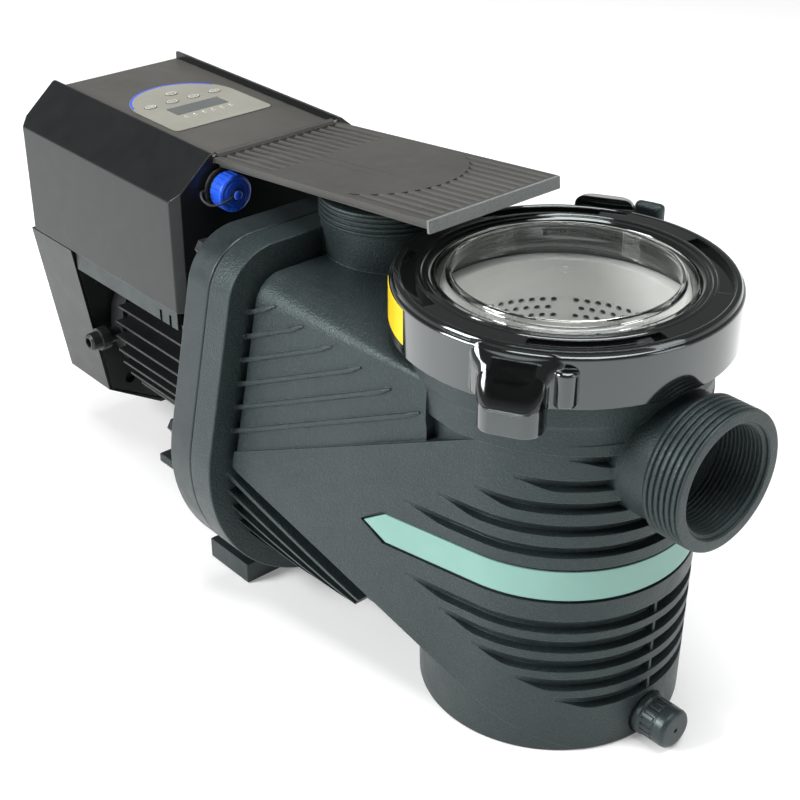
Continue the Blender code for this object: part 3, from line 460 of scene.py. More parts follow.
YELLOW = plastic("yellow_label_film", (0.72, 0.5, 0), (0.85, 0.6, 0.005), (0.3, 0.4),
                 (600, 0.08, 0.04), 40, 0.2, coat=0.3)


def clear_material(name, values, rough):
    """A clear moulding with flow marks in its gloss and a faint wave in its surface."""
    mat, n, shader, coord = new_material(name, values)
    n.link(n.spread(n.noise(coord, 45, 3), rough[0], rough[1]), shader.inputs["Roughness"])
    n.bump(shader, n.noise(coord, 60, 2), 0.05, 0.1)
    return mat, n, shader, coord


def clear_sheet():
    """The lid's flat window: light passes straight through, with a mirror's share of gloss on top."""
    mat, n, shader, coord = clear_material("clear_lid_window", {"Metallic": 1.0}, (0.01, 0.05))
    n.link(n.mix(n.spread(n.noise(coord, 35), 0, 1), (0.86, 0.88, 0.87), (0.94, 0.95, 0.94)),
           shader.inputs["Base Color"])
    facing = n.add("ShaderNodeLayerWeight", {"Blend": 0.5})
    steep = n.add("ShaderNodeMath", {1: 4.0}, operation="POWER")
    n.link(facing.outputs["Facing"], steep.inputs[0])
    n.link(n.spread(steep.outputs["Value"], 0.03, 1, 0, 1), shader.inputs["Alpha"])
    return mat


CLEAR = clear_material("clear_lid_plastic", {"Base Color": (0.97, 0.985, 0.98, 1),
                                             "Transmission Weight": 1, "IOR": 1.5}, (0, 0.045))[0]
SHEET = clear_sheet()


def dress(obj, mat):
    obj.data.materials.clear()
    obj.data.materials.append(mat)


def smooth(obj, angle):
    obj.data.shade_smooth()
    obj.data.set_sharp_from_angle(angle=math.radians(angle))


def piece(obj, body, nodes, mat, angle, weighted=True):
    """Give a finished mesh its material, shading, evened normals and body, and hide the CAD nodes it
    stands for.
    """
    dress(obj, mat)
    smooth(obj, angle)
    if weighted:
        step = obj.modifiers.new("even_normals", "WEIGHTED_NORMAL")
        step.keep_sharp = True
        step.weight = 60
    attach(obj, body)
    if nodes:
        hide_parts(*nodes)
    return obj


# ---------------- pot and volute moulding


def flange_outline(inset):
    """The flange's outline in (y, z), moved inwards by inset."""
    across, up = UPPER_ARC[0] - LOWER_ARC[0], UPPER_ARC[1] - LOWER_ARC[1]
    lean = math.acos((LOWER_ARC[2] - UPPER_ARC[2]) / math.hypot(across, up))
    side = math.degrees(math.atan2(up, across) - lean)
    right = arc(LOWER_ARC[0], LOWER_ARC[1], LOWER_ARC[2] - inset, -90, side, 44)
    right += arc(UPPER_ARC[0], UPPER_ARC[1], UPPER_ARC[2] - inset, side, 90, 26)
    return right + [(-y, z) for y, z in reversed(right)]


def body_hull_mesh(inset, start=CHEEK_X, bottom=0, start_inset=None, top=POT_HULL_TOP):
    """The taut skin between the pot's round base and top and the flange's outline behind them."""
    first = CHEEK_INSET + inset if start_inset is None else start_inset
    segments = 120
    loops = [[(start, y, z) for y, z in flange_outline(first)]]
    for z, radius in ((bottom, POT_R_BASE), (top - inset, POT_R_TOP)):
        loops.append([(x, y, z) for x, y in
                      arc(POT_CX, 0, radius - inset, 0, 360 - 360 / segments, segments)])
    return hull_mesh(loops)


def body_hull(name, inset, **shape):
    return finish_mesh(body_hull_mesh(inset, **shape), name)


def skin_tree(inset, **shape):
    bm = body_hull_mesh(inset, **shape)
    tree = BVHTree.FromBMesh(bm)
    bm.free()
    return tree


def crease_region(name, lower, upper):
    """A side view region between the falling lower crease and the rising upper one."""
    rear, front = CHEEK_X - 2, 140
    outline = [(rear, lower + 1), (rear, upper - 1), (60, upper + 95), (front, upper + 95), (front, -2),
               (76, -2)]
    return prism(name, outline, -WIDE, WIDE, "XZ")


def scoop(tree, name, low, height, reach, depth):
    """A groove round the pot that thins to a rising point at both ends."""
    steps, taper, over = max(24, int(reach * 0.9)), 17, 7  # taper in degrees, over is past the skin
    bm = bmesh.new()
    rows = []
    for i in range(steps + 1):
        azimuth = -reach + 2 * reach * i / steps
        full = ease((reach - abs(azimuth)) / taper)
        heading = math.radians(azimuth)
        ahead = Vector((math.cos(heading), math.sin(heading), 0))
        hit = tree.ray_cast(Vector((POT_CX, 0, low + height / 2)), ahead)[0]
        skin = (hit - Vector((POT_CX, 0, hit.z))).length
        inner = skin - 0.15 - depth * full
        floor = low + (height - 0.8) * (1 - full) * 0.8
        top = low + height + 0.8 * (1 - full)
        corners = ((skin + over, floor - 0.9), (skin + over, top), (inner, top),
                   (inner, floor + 0.9 * full))
        rows.append([bm.verts.new((POT_CX + ahead.x * r, ahead.y * r, z)) for r, z in corners])
    skin_rows(bm, rows)
    return finish_mesh(bm, name)


def band_region(name, grow):
    low, high = 107.0 - grow, 126.0 + grow
    tip, notch, front = -58 - 1.3 * grow, -43 - grow, 120
    outline = [(tip, (low + high) / 2), (notch, high), (front, high), (front, low), (notch, low)]
    return prism(name, outline, -WIDE, WIDE, "XZ")


def band_shell(name, outer, inner, grow):
    shell = body_hull(name, outer)
    boolean(shell, band_region(name + "_region", grow), "INTERSECT")
    return cut(shell, body_hull(name + "_core", inner, start=CHEEK_X - 3))


def lower_ribs():
    """Thin plates under the lower crease; their outer edges follow the cheek's surface."""
    lean = math.radians(-28.5)
    bm = bmesh.new()
    for height, end in zip((105.5, 92.5, 80, 67, 55), (-66, -74, -84, -96, -110)):
        length = (end - FLANGE_FRONT) / math.cos(lean)
        turn = Matrix.Translation((FLANGE_FRONT - 0.5, 0, height)) @ Matrix.Rotation(-lean, 4, "Y")
        for side in (-1, 1):
            near, far = sorted((side * 40, side * 130))
            add_box(bm, (0, near, -1.2), (length, far, 1.2), turn)
    plates = finish_mesh(bm, "lower_rib_plates")
    form = body_hull("lower_rib_form", 0.4, start=FLANGE_FRONT - 0.6, start_inset=12.6,
                     bottom=UNDERSIDE)
    return boolean(plates, form, "INTERSECT")


def shoulder_ribs(tree):
    """Rounded ribs on the shoulder that bridge the channel to the flange and end in a raised tip."""
    half = [(0.5, 1.45), (1.1, 1.2), (1.45, 0.6), (1.5, -2.2)]
    section = [(-a, b) for a, b in reversed(half)] + half
    slope, stride, tip = 0.462, 2.5, 9.0
    bm = bmesh.new()
    for height, end in zip((207.6, 192.6, 178, 163, 148.2, 133), (-141, -116.5, -92, -68, -44, -21)):
        for side in (-1, 1):
            route = []
            steps = int((end - FLANGE_FRONT) / stride)
            for i in range(steps + 1):
                x = FLANGE_FRONT + (end - FLANGE_FRONT) * i / steps
                left = (end - x) / tip
                z = height + (x - FLANGE_FRONT) * slope + 0.7 * (1 - ease(left))
                start = Vector((max(x, CHEEK_X + 0.3), side * 4, z))
                hit, normal = tree.ray_cast(start, Vector((0, side, 0)))[:2]
                while hit is None:
                    start.z = z = z - 0.5
                    hit, normal = tree.ray_cast(start, Vector((0, side, 0)))[:2]
                out = normal if normal.y * side > 0 else -normal
                route.append((Vector((x, hit.y, z)), out, 0.55 + 0.45 * ease(left * 1.6),
                              0.7 - 1.3 * (1 - ease(left * 2.2))))
            rows = []
            for i, (place, out, scale, sink) in enumerate(route):
                ahead = (route[min(i + 1, steps)][0] - route[max(i - 1, 0)][0]).normalized()
                across = out.cross(ahead).normalized()
                lift = ahead.cross(across).normalized()
                lift = lift if lift.dot(out) > 0 else -lift
                rows.append([bm.verts.new(place + across * a * scale + lift * (b + sink))
                             for a, b in section])
            skin_rows(bm, rows)
    return finish_mesh(bm, "shoulder_ribs")


def thread(crest, root, start, end, turns):
    """Outer side of a threaded length, from end down to start."""
    pitch = (end - start) / turns
    shoulder = crest - 0.15
    tooth = ((0.12, root), (0.3, shoulder), (0.42, crest), (0.66, crest), (0.78, shoulder),
             (0.95, root))
    return [(radius, end - i * pitch - share * pitch) for i in range(turns) for share, radius in tooth]


def suction_neck():
    face = SUCTION_FACE
    profile = [(0, face), (38.6, face), (39.5, face - 0.3), (39.8, face - 1)]
    profile += thread(40, 38.5, 96, face - 1.4, 6)
    profile += [(37.4, 95), (36.6, 93.6), (36.8, 88), (37.4, 66), (38.4, 60), (0, 60)]
    return lathe("suction_neck", profile, "X", SUCTION, closed=False)


def discharge_neck():
    top = DISCHARGE_TOP
    profile = [(0, top), (39.4, top), (40.4, top - 0.4), (40.8, top - 1.2)]
    profile += thread(40.8, 39.3, 250.6, top - 1.8, 4)
    profile += [(39.5, 249.6), (39.5, 228.5), (39.9, 226.2), (41, 224.3), (42.8, 223),
                (44.5, 222.3), (44.5, 190), (0, 190)]
    return lathe("discharge_neck", profile, "Z", (DISCHARGE_X, 0, 0), closed=False)


def threaded_bore(name, axis, centre, start, end):
    """A cutter for a port: plain bore, a fine inner thread and a slightly wider mouth."""
    turns, pitch, depth = 11, 2.6, 1.3
    first = end - 3.0 - turns * pitch
    points = [(0, start), (BORE_R, start), (BORE_R, first)]
    for i in range(turns):
        low = first + i * pitch
        points += [(BORE_R, low + 0.3), (BORE_R + depth, low + 1.1), (BORE_R + depth, low + 1.5),
                   (BORE_R, low + 2.3)]
    points += [(BORE_R + 0.2, end - 3), (MOUTH_R - 0.9, end - 2.2), (MOUTH_R - 0.9, end - 0.8),
               (MOUTH_R, end + 0.1), (MOUTH_R, end + 8), (0, end + 8)]
    return lathe(name, points, axis, centre, closed=False)


def collar():
    profile = [(0, COLLAR_TOP), (COLLAR_R - 0.6, COLLAR_TOP), (COLLAR_R, COLLAR_TOP - 0.6),
               (COLLAR_R, 217.5), (84.6, 216), (83.6, 213.6), (83.6, 199.4), (0, 199.4)]
    neck = lathe("collar", profile, "Z", (0, 0, 0), closed=False, steps=144)
    for i in range(4):
        middle = COLLAR_LUG + 90 * i
        join(neck, ring_sector("collar_lug", 83, 89.9, 238.5, 242.5, middle - LUG_HALF,
                               middle + LUG_HALF, steps=12))
    arm = bevel(ring_sector("stop_arm", 77, 118, 202.5, 209.5, 104.4, 113.6, steps=6), 0.8, 2)
    post = bevel(ring_sector("stop_post", 111.4, 119.0, 205, 261.5, 104.0, 113.0, steps=3), 3.2, 5)
    return join(neck, arm, post)


def make_body():
    lean = (POT_R_TOP - POT_R_BASE) / POT_HULL_TOP
    foot_r, foot_top, recess_floor = POT_R_BASE - 0.35, 140, 8.0
    body = cylinder("body_moulding", "Z", POT, foot_r, 0, foot_top, 144, foot_r + foot_top * lean)
    bevel(body, 0.8, 2)
    join(body, cylinder("pot_core", "Z", POT, 75.6, 20, 205, 96),
         cylinder("pot_neck", "Z", POT, NECK_R, 153, SHOULDER_TOP + 4, 144),
         body_hull("volute_form", recess_floor, bottom=UNDERSIDE))
    shoulder = body_hull("shoulder_form", SHOULDER_INSET, bottom=UNDERSIDE, top=SHOULDER_TOP)
    above = [(-160, 114), (-160, 260), (-26, 260), (-16, 192), (-16, 176)]
    join(body, boolean(shoulder, prism("shoulder_region", above, -WIDE, WIDE, "XZ"), "INTERSECT"))
    cheek = body_hull("cheek_form", 0, bottom=0.6)
    join(body, boolean(cheek, crease_region("cheek_region", 112, 122.2), "INTERSECT"))
    cheek_skin = skin_tree(0)
    for scoops, height in ((LOW_SCOOPS, 8.5), (HIGH_SCOOPS, 7.2)):
        for z, reach in scoops:
            cut(body, scoop(cheek_skin, "scoop", z, height, reach, 5.2))
    cut(body, band_shell("band_recess", -1, 2.1, 1.7))
    join(body, box("front_rib", (72.6, -0.9, 26), (81.2, 0.9, 139)),
         prism("throat", flange_outline(21), FLANGE_FRONT - 3, CHEEK_X + 4),
         bevel(prism("body_flange", flange_outline(0), PARTING_X, FLANGE_FRONT), 1.1, 3),
         lower_ribs(), collar(), suction_neck(), discharge_neck())
    cut(body, box("rear_trim", (-215, -60, 180), (PARTING_X, 60, 249.5)),
        cylinder("pot_bore", "Z", (0, 0, 0), 72, 8, 240, 128),
        cylinder("collar_bore", "Z", (0, 0, 0), 77, 236, 260, 128))
    chamber = finish_mesh(hull_mesh([
        [(PARTING_X - 2, y, z) for y, z in flange_outline(28.5)],
        [(CHEEK_X + 5, y, z) for y, z in flange_outline(29)],
        [(-108, y, z) for y, z in arc(0, SHAFT_Z + 4, 69, 0, 354, 60)]]), "chamber")
    cut(body, chamber, cylinder("eye_passage", "X", SHAFT, 24, -112, -50),
        threaded_bore("discharge_bore", "Z", (DISCHARGE_X, 0, 0), 150, DISCHARGE_TOP),
        threaded_bore("suction_bore", "X", SUCTION, 40, SUCTION_FACE),
        cylinder("drain_spotface", "X", DRAIN, 13.6, 79, 92),
        cylinder("drain_bore", "X", DRAIN, 8.4, 60, 90))
    merge(body, shoulder_ribs(skin_tree(SHOULDER_INSET, top=SHOULDER_TOP)))
    piece(body, "pump", ("pump_body",), GRAINED, 28)
    band = bevel(band_shell("band_inlay", 0.35, 1.9, 0), 0.25, 1)
    piece(band, "pump", ("side_band",), TEAL, 30)


def make_seal_plate():
    front = PARTING_X - 0.3
    plate = bevel(prism("seal_plate_casting", flange_outline(0), PLATE_REAR, front), 1.3, 3)
    join(plate, cylinder("lantern", "X", SHAFT, 58, -231.7, PLATE_REAR + 2, 96))
    for side in (-1, 1):
        join(plate, bevel(side_box("foot", side, (-225, front), (61, 90.5), (0, 14.5)), 0.8, 2),
             bevel(side_box("foot_web", side, (-213, -198), (64, 82), (4, 40)), 0.8, 2))
    cut(plate, cylinder("plate_recess", "X", SHAFT, 70, -191, -170, 96),
        cylinder("plate_bore", "X", SHAFT, 16.3, -206, -170),
        cylinder("lantern_bore", "X", SHAFT, 50, -240, -203, 96))
    for side in (-1, 1):
        cut(plate, side_box("lantern_window", side, (-228, -209), (30, 70), (88, 118)))
    piece(plate, "pump", ("seal_plate",), SMOOTH_BODY, 30)


# ---------------- lid, ring and basket


def make_lid():
    disc = lathe("clear_lid_moulding", [
        (0, 264.1), (0.9, 264.2), (1.3, 264.7), (2.6, 264.7), (3, 265), (3.6, 265), (4, 264.5),
        (61.2, 264.7), (61.2, 257.2), (0, 257.2)], "Z", (0, 0, 0), 160, False)
    piece(disc, "lid", ("lid",), SHEET, 25, False)
    rim = lathe("clear_lid_rim", [
        (61.4, 264.8), (62.6, 264.9), (63.5, 264.5), (64, 263.7), (64.3, 262.8), (65.2, 262.4),
        (69.6, 262.3), (70.2, 261.9), (70.4, 259.2), (83, 259.2), (83, 252.4), (76.3, 252.4),
        (76.3, 242.4), (73.2, 242.4), (71.8, 253.5), (70.6, 255.6), (68.6, 256.6), (64, 257),
        (61.4, 257.1)], "Z", (0, 0, 0), 160)
    piece(rim, "lid", (), CLEAR, 25, False)


def grip_outline(inset, flares):
    """Plan of the grip in (outward, across), shrunk by inset; flares sweep its sides off the skirt."""
    side, front = 17.4 - inset, 109.4 - inset
    corner = max(10.5 - inset, 1)
    half = [(95, side)]
    if flares:
        half = [(r, t - inset) for r, t in (
            (91, 24.4), (93.4, 23.2), (94.8, 22), (96, 20.6), (97, 19.2), (98, 18.3), (99.4, 17.7))]
    half += [(front - corner + corner * math.sin(math.radians(a)),
              side - corner + corner * math.cos(math.radians(a))) for a in range(0, 91, 9)]
    return half + [(r, -t) for r, t in reversed(half[:-1])]


def grip_block(name, low, sloped, flares):
    """One block of the grip, with a small rounding below and a large one above."""
    fall, level = (1.19, 257.4) if sloped else (0.2, 268.2)
    radius, skirt = 6, 94.9
    levels = [(1.5, None, 0), (0.45, None, 0.45), (0, None, 1.5)]
    levels += [(radius * (1 - math.cos(math.radians(a))), radius * (1 - math.sin(math.radians(a))), 0)
               for a in range(0, 91, 15)]
    bm = bmesh.new()
    rows = []
    for inset, below, above in levels:
        rows.append([bm.verts.new((r, t, low + above if below is None else
                                   level - fall * (r - skirt) - below))
                     for r, t in grip_outline(inset, flares)])
    skin_rows(bm, rows)
    return finish_mesh(bm, name)


def ring_handle(azimuth, sloped):
    """A hanging grip; the near one's top slopes outwards and has flares and a second lobe beside it."""
    grip = grip_block("grip", GRIP_LOW, sloped, False)
    if sloped:
        merge(grip, grip_block("grip_flares", 235, True, True))
        merge(grip, bevel(cylinder("lobe", "Z", (91.3, 24.8, 0), 6.6, 235.5, 255.6, 40), 2.2, 4))
    grip.data.transform(Matrix.Rotation(math.radians(azimuth), 4, "Z"))
    return grip


def make_lock_ring():
    profile = [(94, 232.2), (94.6, 232.8), (94.6, 259.2), (94.35, 260.2), (93.7, 260.9), (93.1, 261.2),
               (92.8, 261.8), (92.6, 262.7), (92, 263.4), (91.1, 263.7), (89.6, 263.7), (89.1, 263.4),
               (88.6, 263.4), (79.6, 263.4), (79.1, 263.7), (77.4, 263.7), (76.9, 263.3), (76.5, 262.8),
               (75.2, 262.8), (74.8, 263.3), (73.6, 263.3), (72.4, 262.6), (71.3, 261.2), (71, 259.9),
               (71.4, 259.6), (90.5, 259.6), (90.5, 232.2)]
    ring = lathe("lock_ring_moulding", profile, "Z", (0, 0, 0), 192)
    for i in range(4):
        middle = RING_LUG + 90 * i
        join(ring, ring_sector("ring_lug", 86.2, 92, 232.5, 236.6, middle - LUG_HALF, middle + LUG_HALF,
                               steps=12))
        middle = POCKET + 90 * i
        cut(ring, ring_sector("ring_pocket", 80.4, 88.4, 259.9, 266, middle - POCKET_HALF,
                              middle + POCKET_HALF, steps=40))
    merge(ring, ring_handle(-61, True), ring_handle(120.5, False))
    piece(ring, "lock_ring", ("lock_ring",), GLOSS, 30)
    label = ring_sector("blank_label", 94.3, 94.85, 238.5, 259, 226.5, 252.5)
    piece(bevel(label, 0.2, 1), "lock_ring", (), YELLOW, 30, False)


def perforated_wall(bm, place, columns, rows, solid, open_at, hole):
    """Cells with an eight-sided hole each, staggered by half a cell from row to row."""
    edge = ((0, 0), (0.5, 0), (1, 0), (1, 0.5), (1, 1), (0.5, 1), (0, 1), (0, 0.5))
    octagon = ((-0.7, -0.7), (0, -1), (0.7, -0.7), (1, 0), (0.7, 0.7), (0, 1), (-0.7, 0.7), (-1, 0))
    made = {}

    def vert(u, v):
        key = (round((u % columns) * 8) % (columns * 8), round(v * 8))
        if key not in made:
            made[key] = bm.verts.new(place(u, v))
        return made[key]

    for v in range(rows):
        shift = 0.5 * (v % 2)
        for c in range(columns):
            u = c + shift
            border = [vert(u + a, v + b) for a, b in edge]
            if open_at(u + 0.5, v + 0.5):
                continue
            if solid(u + 0.5, v + 0.5):
                bm.faces.new(border)
                continue
            inner = [bm.verts.new(place(u + 0.5 + hole * a, v + 0.5 + hole * b)) for a, b in octagon]
            for i in range(8):
                k = (i + 1) % 8
                bm.faces.new((border[i], border[k], inner[k], inner[i]))


def make_basket():
    columns, rows, top, low = 64, 31, 217, 62.0
    low_r, high_r, plain_azimuth, inlet_r = 60.4, 67.8, 133, 27.5

    def wall(u, v):
        z = top - (top - low) * v / rows
        radius = low_r + (high_r - low_r) * (z - 60) / 176
        a = 2 * math.pi * u / columns
        return radius * math.cos(a), radius * math.sin(a), z

    def plain(u, v):
        azimuth = (360.0 * u / columns) % 360
        return abs((azimuth - plain_azimuth + 45) % 90 - 45) < 4.5

    def inlet(u, v):
        x, y, z = wall(u, v)
        return x > 0 and math.hypot(y, z - SUCTION_Z) < inlet_r

    bm = bmesh.new()
    perforated_wall(bm, wall, columns, rows, plain, inlet, 0.31)
    for vert in [v for v in bm.verts if not v.link_faces]:
        bm.verts.remove(vert)
    side = finish_mesh(bm, "basket_moulding")
    step = side.modifiers.new("wall", "SOLIDIFY")
    step.thickness = 2.0 * MM
    step.offset = 0.0
    bake(side)
    base = [(59.4, 62.6), (61.6, 62.6), (61.6, 58), (56, 54), (0, 54), (0, 56.2), (55, 56.2),
            (59.4, 60.4)]
    rim = [(66, 216.4), (68.3, 216.4), (69.4, 235.6), (70.2, 236.3), (76, 236.3), (76, 239.2),
           (75.2, 240), (68.6, 240), (67.6, 239.4), (67.2, 238.2)]
    inlet_frame = [(26.2, 55.5), (26.2, 68.6), (31.4, 68.6), (31.4, 55.5)]
    merge(side, lathe("basket_base", base, "Z", (0, 0, 0), 128, False),
          lathe("basket_rim", rim, "Z", (0, 0, 0), 160),
          bevel(lathe("inlet_frame", inlet_frame, "X", SUCTION, 96), 0.8, 2))
    piece(side, "basket", ("basket",), BASKET, 40, False)


# ---------------- drain plug and motor side


def make_drain_plug():
    profile = [(0, 103.9), (9.2, 104), (10.8, 103.5), (11.8, 102.4), (12.2, 100.8), (12.2, 96.2),
               (11.7, 95.6), (11.7, 94.8), (12.2, 94.2), (12.2, 86.6), (12.8, 86), (13, 85.2),
               (13, 82.3), (12.4, 81.5), (8, 81.5), (8, 70.4), (7.4, 70), (0, 70)]
    plug = lathe("drain_knob", profile, "X", DRAIN, 96, False)
    cut(plug, flutes("knob_flutes", DRAIN, 20, 9, (87.2, 11.3, -0.75), (95, 14, 0.75)),
        cylinder("knob_dimple", "X", DRAIN, 1.2, 102.6, 106, 32, 2))
    piece(plug, "drain_plug", ("drain_plug",), SMOOTH_BODY, 35)


def make_motor():
    fin_r, fin_pitch = 66, 11
    housing = cylinder("motor_body_casting", "X", SHAFT, 54, -372, -234.3, 96)
    bm = bmesh.new()
    for step in range(-4, 5):
        height = SHAFT_Z + fin_pitch * step
        reach = math.sqrt(fin_r ** 2 - (height - SHAFT_Z) ** 2)
        add_box(bm, (-368, -reach, height - 1), (-240.3, reach, height + 1))
    join(housing, bevel(finish_mesh(bm, "fins"), 0.5, 2),
         bevel(box("motor_top", (-366, -42, 150), (-262, 42, 163.1)), 1, 2))
    cut(housing, cylinder("motor_bore", "X", SHAFT, 49, -374, -232, 96))
    piece(housing, "pump", ("motor_housing",), CAST, 35)


# ---------------- controller


def hood_outline(inset):
    side, rim = 82.0 - inset, 52.3 - 0.55 * inset
    right = [(side, HOOD_LOW), (side, 243.5 - 0.4 * inset), (rim, 268.8 - 0.9 * inset)]
    return right + [(-y, z) for y, z in reversed(right)]


def make_hood():
    hood = prism("hood_moulding", hood_outline(0), HOOD_REAR, HOOD_FRONT)
    for side in (-1, 1):
        for end, way in ((HOOD_FRONT, 1), (HOOD_REAR, -1)):
            outline = [(end - 6.5 * way, side * 84), (end + way, side * 84), (end + way, side * 74.5)]
            cut(hood, prism("corner", outline, 150, 262, "XY"))
    bevel(hood, 0.7, 2, 20)
    half, wall = 50.3, 2.5
    inner = [(79.5, 160), (79.5, 242.5), (58, 260.6), (-58, 260.6), (-79.5, 242.5), (-79.5, 160)]
    cut(hood, box("top_recess", (HOOD_REAR - 2, -half, PANEL_Z), (-250, half, 280)),
        box("hinge_notch", (-260.5, -half, PANEL_Z - 1), (-250, half, 280)),
        prism("hood_hollow", inner, HOOD_REAR + wall, HOOD_FRONT - 9),
        prism("hood_nose", [(y * 0.93, z) for y, z in inner], HOOD_FRONT - 12, HOOD_FRONT - wall),
        cylinder("socket_hole", "X", CAP, 8.3, -262, -250, 48))
    piece(hood, "pump", ("hood",), HOOD_SIDE, 12)
    hood.data.materials.append(PANEL)
    for face in hood.data.polygons:
        centre = face.center
        if face.normal.z > 0.9 and abs(centre.y) < 0.0504 and centre.z > 0.2615:
            face.material_index = 1


def keypad_outline(inset):
    half = KEYPAD_HALF - inset
    centre_x = KEYPAD_X[0] + KEYPAD_HALF
    front = KEYPAD_X[1] - inset
    corner = 4.0
    rear = arc(centre_x, KEYPAD_Y, half, 90, 270, 65)
    lower = arc(front - corner, KEYPAD_Y - half + corner, corner, -90, 0, 9)
    upper = arc(front - corner, KEYPAD_Y + half - corner, corner, 0, 90, 9)
    return rear + lower + upper


def key_places():
    row = [("key_%d" % (i + 1), -363, KEYPAD_Y + 17.4 * (i - 1.5)) for i in range(4)]
    return row + [("key_5", -377.5, KEYPAD_Y)]


def oval(x, y, reach, low, high, name):
    squeeze = Matrix.Diagonal((0.72, 1, 1, 1))
    key = cylinder(name, "Z", (0, 0, 0), reach, low, high, 48)
    key.data.transform(Matrix.Translation((x * MM, y * MM, 0)) @ squeeze)
    return key


def make_keypad():
    top, ink_low, ink_high = PANEL_Z + 0.7, PANEL_Z + 1.1, PANEL_Z + 1.24
    outline_r, outline_width = 3.9, 0.45
    panel = bevel(prism("keypad_film", keypad_outline(0), PANEL_Z + 0.1, top, "XY"), 0.2, 2)
    for name, x, y in key_places():
        cut(panel, oval(x, y, 4.7, PANEL_Z - 2, PANEL_Z + 3, "key_hole"))
    cut(panel, box("display_hole", (-352.7, KEYPAD_Y - 20.8, 260), (-337.9, KEYPAD_Y + 20.8, 270)))
    piece(panel, "pump", ("keypad_panel",), KEYPAD, 35)
    for name, x, y in key_places():
        cap = bevel(oval(x, y, 4.3, PANEL_Z + 0.55, PANEL_Z + 1.2, name + "_cap"), 0.2, 2)
        piece(cap, name, (name,), KEYPAD, 35)
        mark = cut(oval(x, y, outline_r, ink_low, ink_high, name + "_mark"),
                   oval(x, y, outline_r - outline_width, ink_low - 1, ink_high + 1, "mark_hole"))
        bm = bmesh.new()
        if name in ("key_1", "key_4"):
            add_box(bm, (x - 0.25, y - 2, ink_low), (x + 0.25, y + 2, ink_high))
        elif name == "key_5":
            add_box(bm, (x - 1.5, y - 0.25, ink_low), (x + 0.2, y + 0.25, ink_high))
        else:
            turn = 1 if name == "key_2" else -1
            for lean in (-1, 1):
                place = Matrix.Translation((x, y + 0.75 * lean, PANEL_Z + 1.17)) @ Matrix.Rotation(
                    math.radians(-38 * lean * turn), 4, "Z")
                add_box(bm, (-0.2, -1.2, -0.07), (0.2, 1.2, 0.07), place)
        merge(mark, finish_mesh(bm, name + "_sign"))
        piece(mark, name, (), INK, 35, False)
    glass = bevel(box("display_glass", (-352.4, KEYPAD_Y - 20.5, PANEL_Z + 0.1),
                      (-338.2, KEYPAD_Y + 20.5, PANEL_Z + 0.75)), 0.25, 2)
    piece(glass, "pump", ("display_window",), LCD, 35)
    bm = bmesh.new()
    for i in range(6):
        x, y = -333.6, KEYPAD_Y + 7.2 * (i - 2.5)
        add_cylinder(bm, "Z", (x, y, 0), 0.75, top - 0.05, top + 0.08, 16)
        add_box(bm, (x + 2.4, y - 1.3, top - 0.05), (x + 2.8, y + 1.3, top + 0.06))
    piece(finish_mesh(bm, "indicator_marks"), "pump", (), INK, 35, False)
    bm = bmesh.new()
    rows = []
    for (ax, ay), (bx, by) in list(zip(keypad_outline(0.3), keypad_outline(1.7)))[10:60]:
        rows.append([bm.verts.new(c) for c in ((ax, ay, top - 0.05), (bx, by, top - 0.05),
                                               (bx, by, top + 0.1), (ax, ay, top + 0.1))])
    skin_rows(bm, rows)
    piece(finish_mesh(bm, "blue_arc"), "pump", (), BLUE_INK, 35, False)


def make_flap():
    flap = box("flap_moulding", (2.9, -FLAP_HALF, -3.4), (FLAP_LENGTH - 2, FLAP_HALF, 0))
    join(flap, box("flap_step", (4.5, -FLAP_HALF + 2.2, -6), (FLAP_LENGTH - 1.5, FLAP_HALF - 2.2, -2)))
    bevel(flap, 0.5, 2)
    join(flap, cylinder("flap_barrel", "Y", (0, 0, 0), 2.6, -46, 46, 32))
    join(flap, box("flap_web", (0, -46, -2.4), (5, 46, 0)))
    groove_count = 14
    section = [(-2.6, 0.6), (-2.2, -0.1), (-1.6, -1), (-0.9, -1.3), (0.9, -1.3), (1.6, -1),
               (2.2, -0.1), (2.6, 0.6)]
    bm = bmesh.new()
    for i in range(groove_count):
        y = -FLAP_HALF + 2 * FLAP_HALF / (groove_count + 1) * (i + 1)
        skin_rows(bm, [[bm.verts.new((x, y + a, b)) for a, b in section]
                       for x in (5, FLAP_LENGTH - 4)])
    grooves = finish_mesh(bm, "flap_grooves")
    zone = [(57, 51), (57, -51), (122, -51)] + arc(112, 0, 47.5, -72, 72, 49) + [(122, 51)]
    cut(grooves, prism("flap_smooth_zone", zone, -3, 3, "XY"))
    cut(flap, grooves)
    cut(flap, cylinder("flap_pin_hole", "Y", (0, 0, 0), 1.4, -60, 60, 24))
    hinge = Vector((HINGE_X, 0, HINGE_Z)) * MM
    turn = Matrix.Translation(hinge) @ Matrix.Rotation(math.radians(-FLAP_TILT), 4, "Y")
    flap.data.transform(turn)
    piece(flap, "display_flap", ("display_flap",), WARM, 30)
    lip = box("flap_lip", (FLAP_LENGTH - 2.2, -FLAP_HALF, -7.6), (FLAP_LENGTH, FLAP_HALF, 0))
    bevel(lip, 0.5, 2)
    lip.data.transform(turn)
    piece(lip, "display_flap", (), LIP, 30)


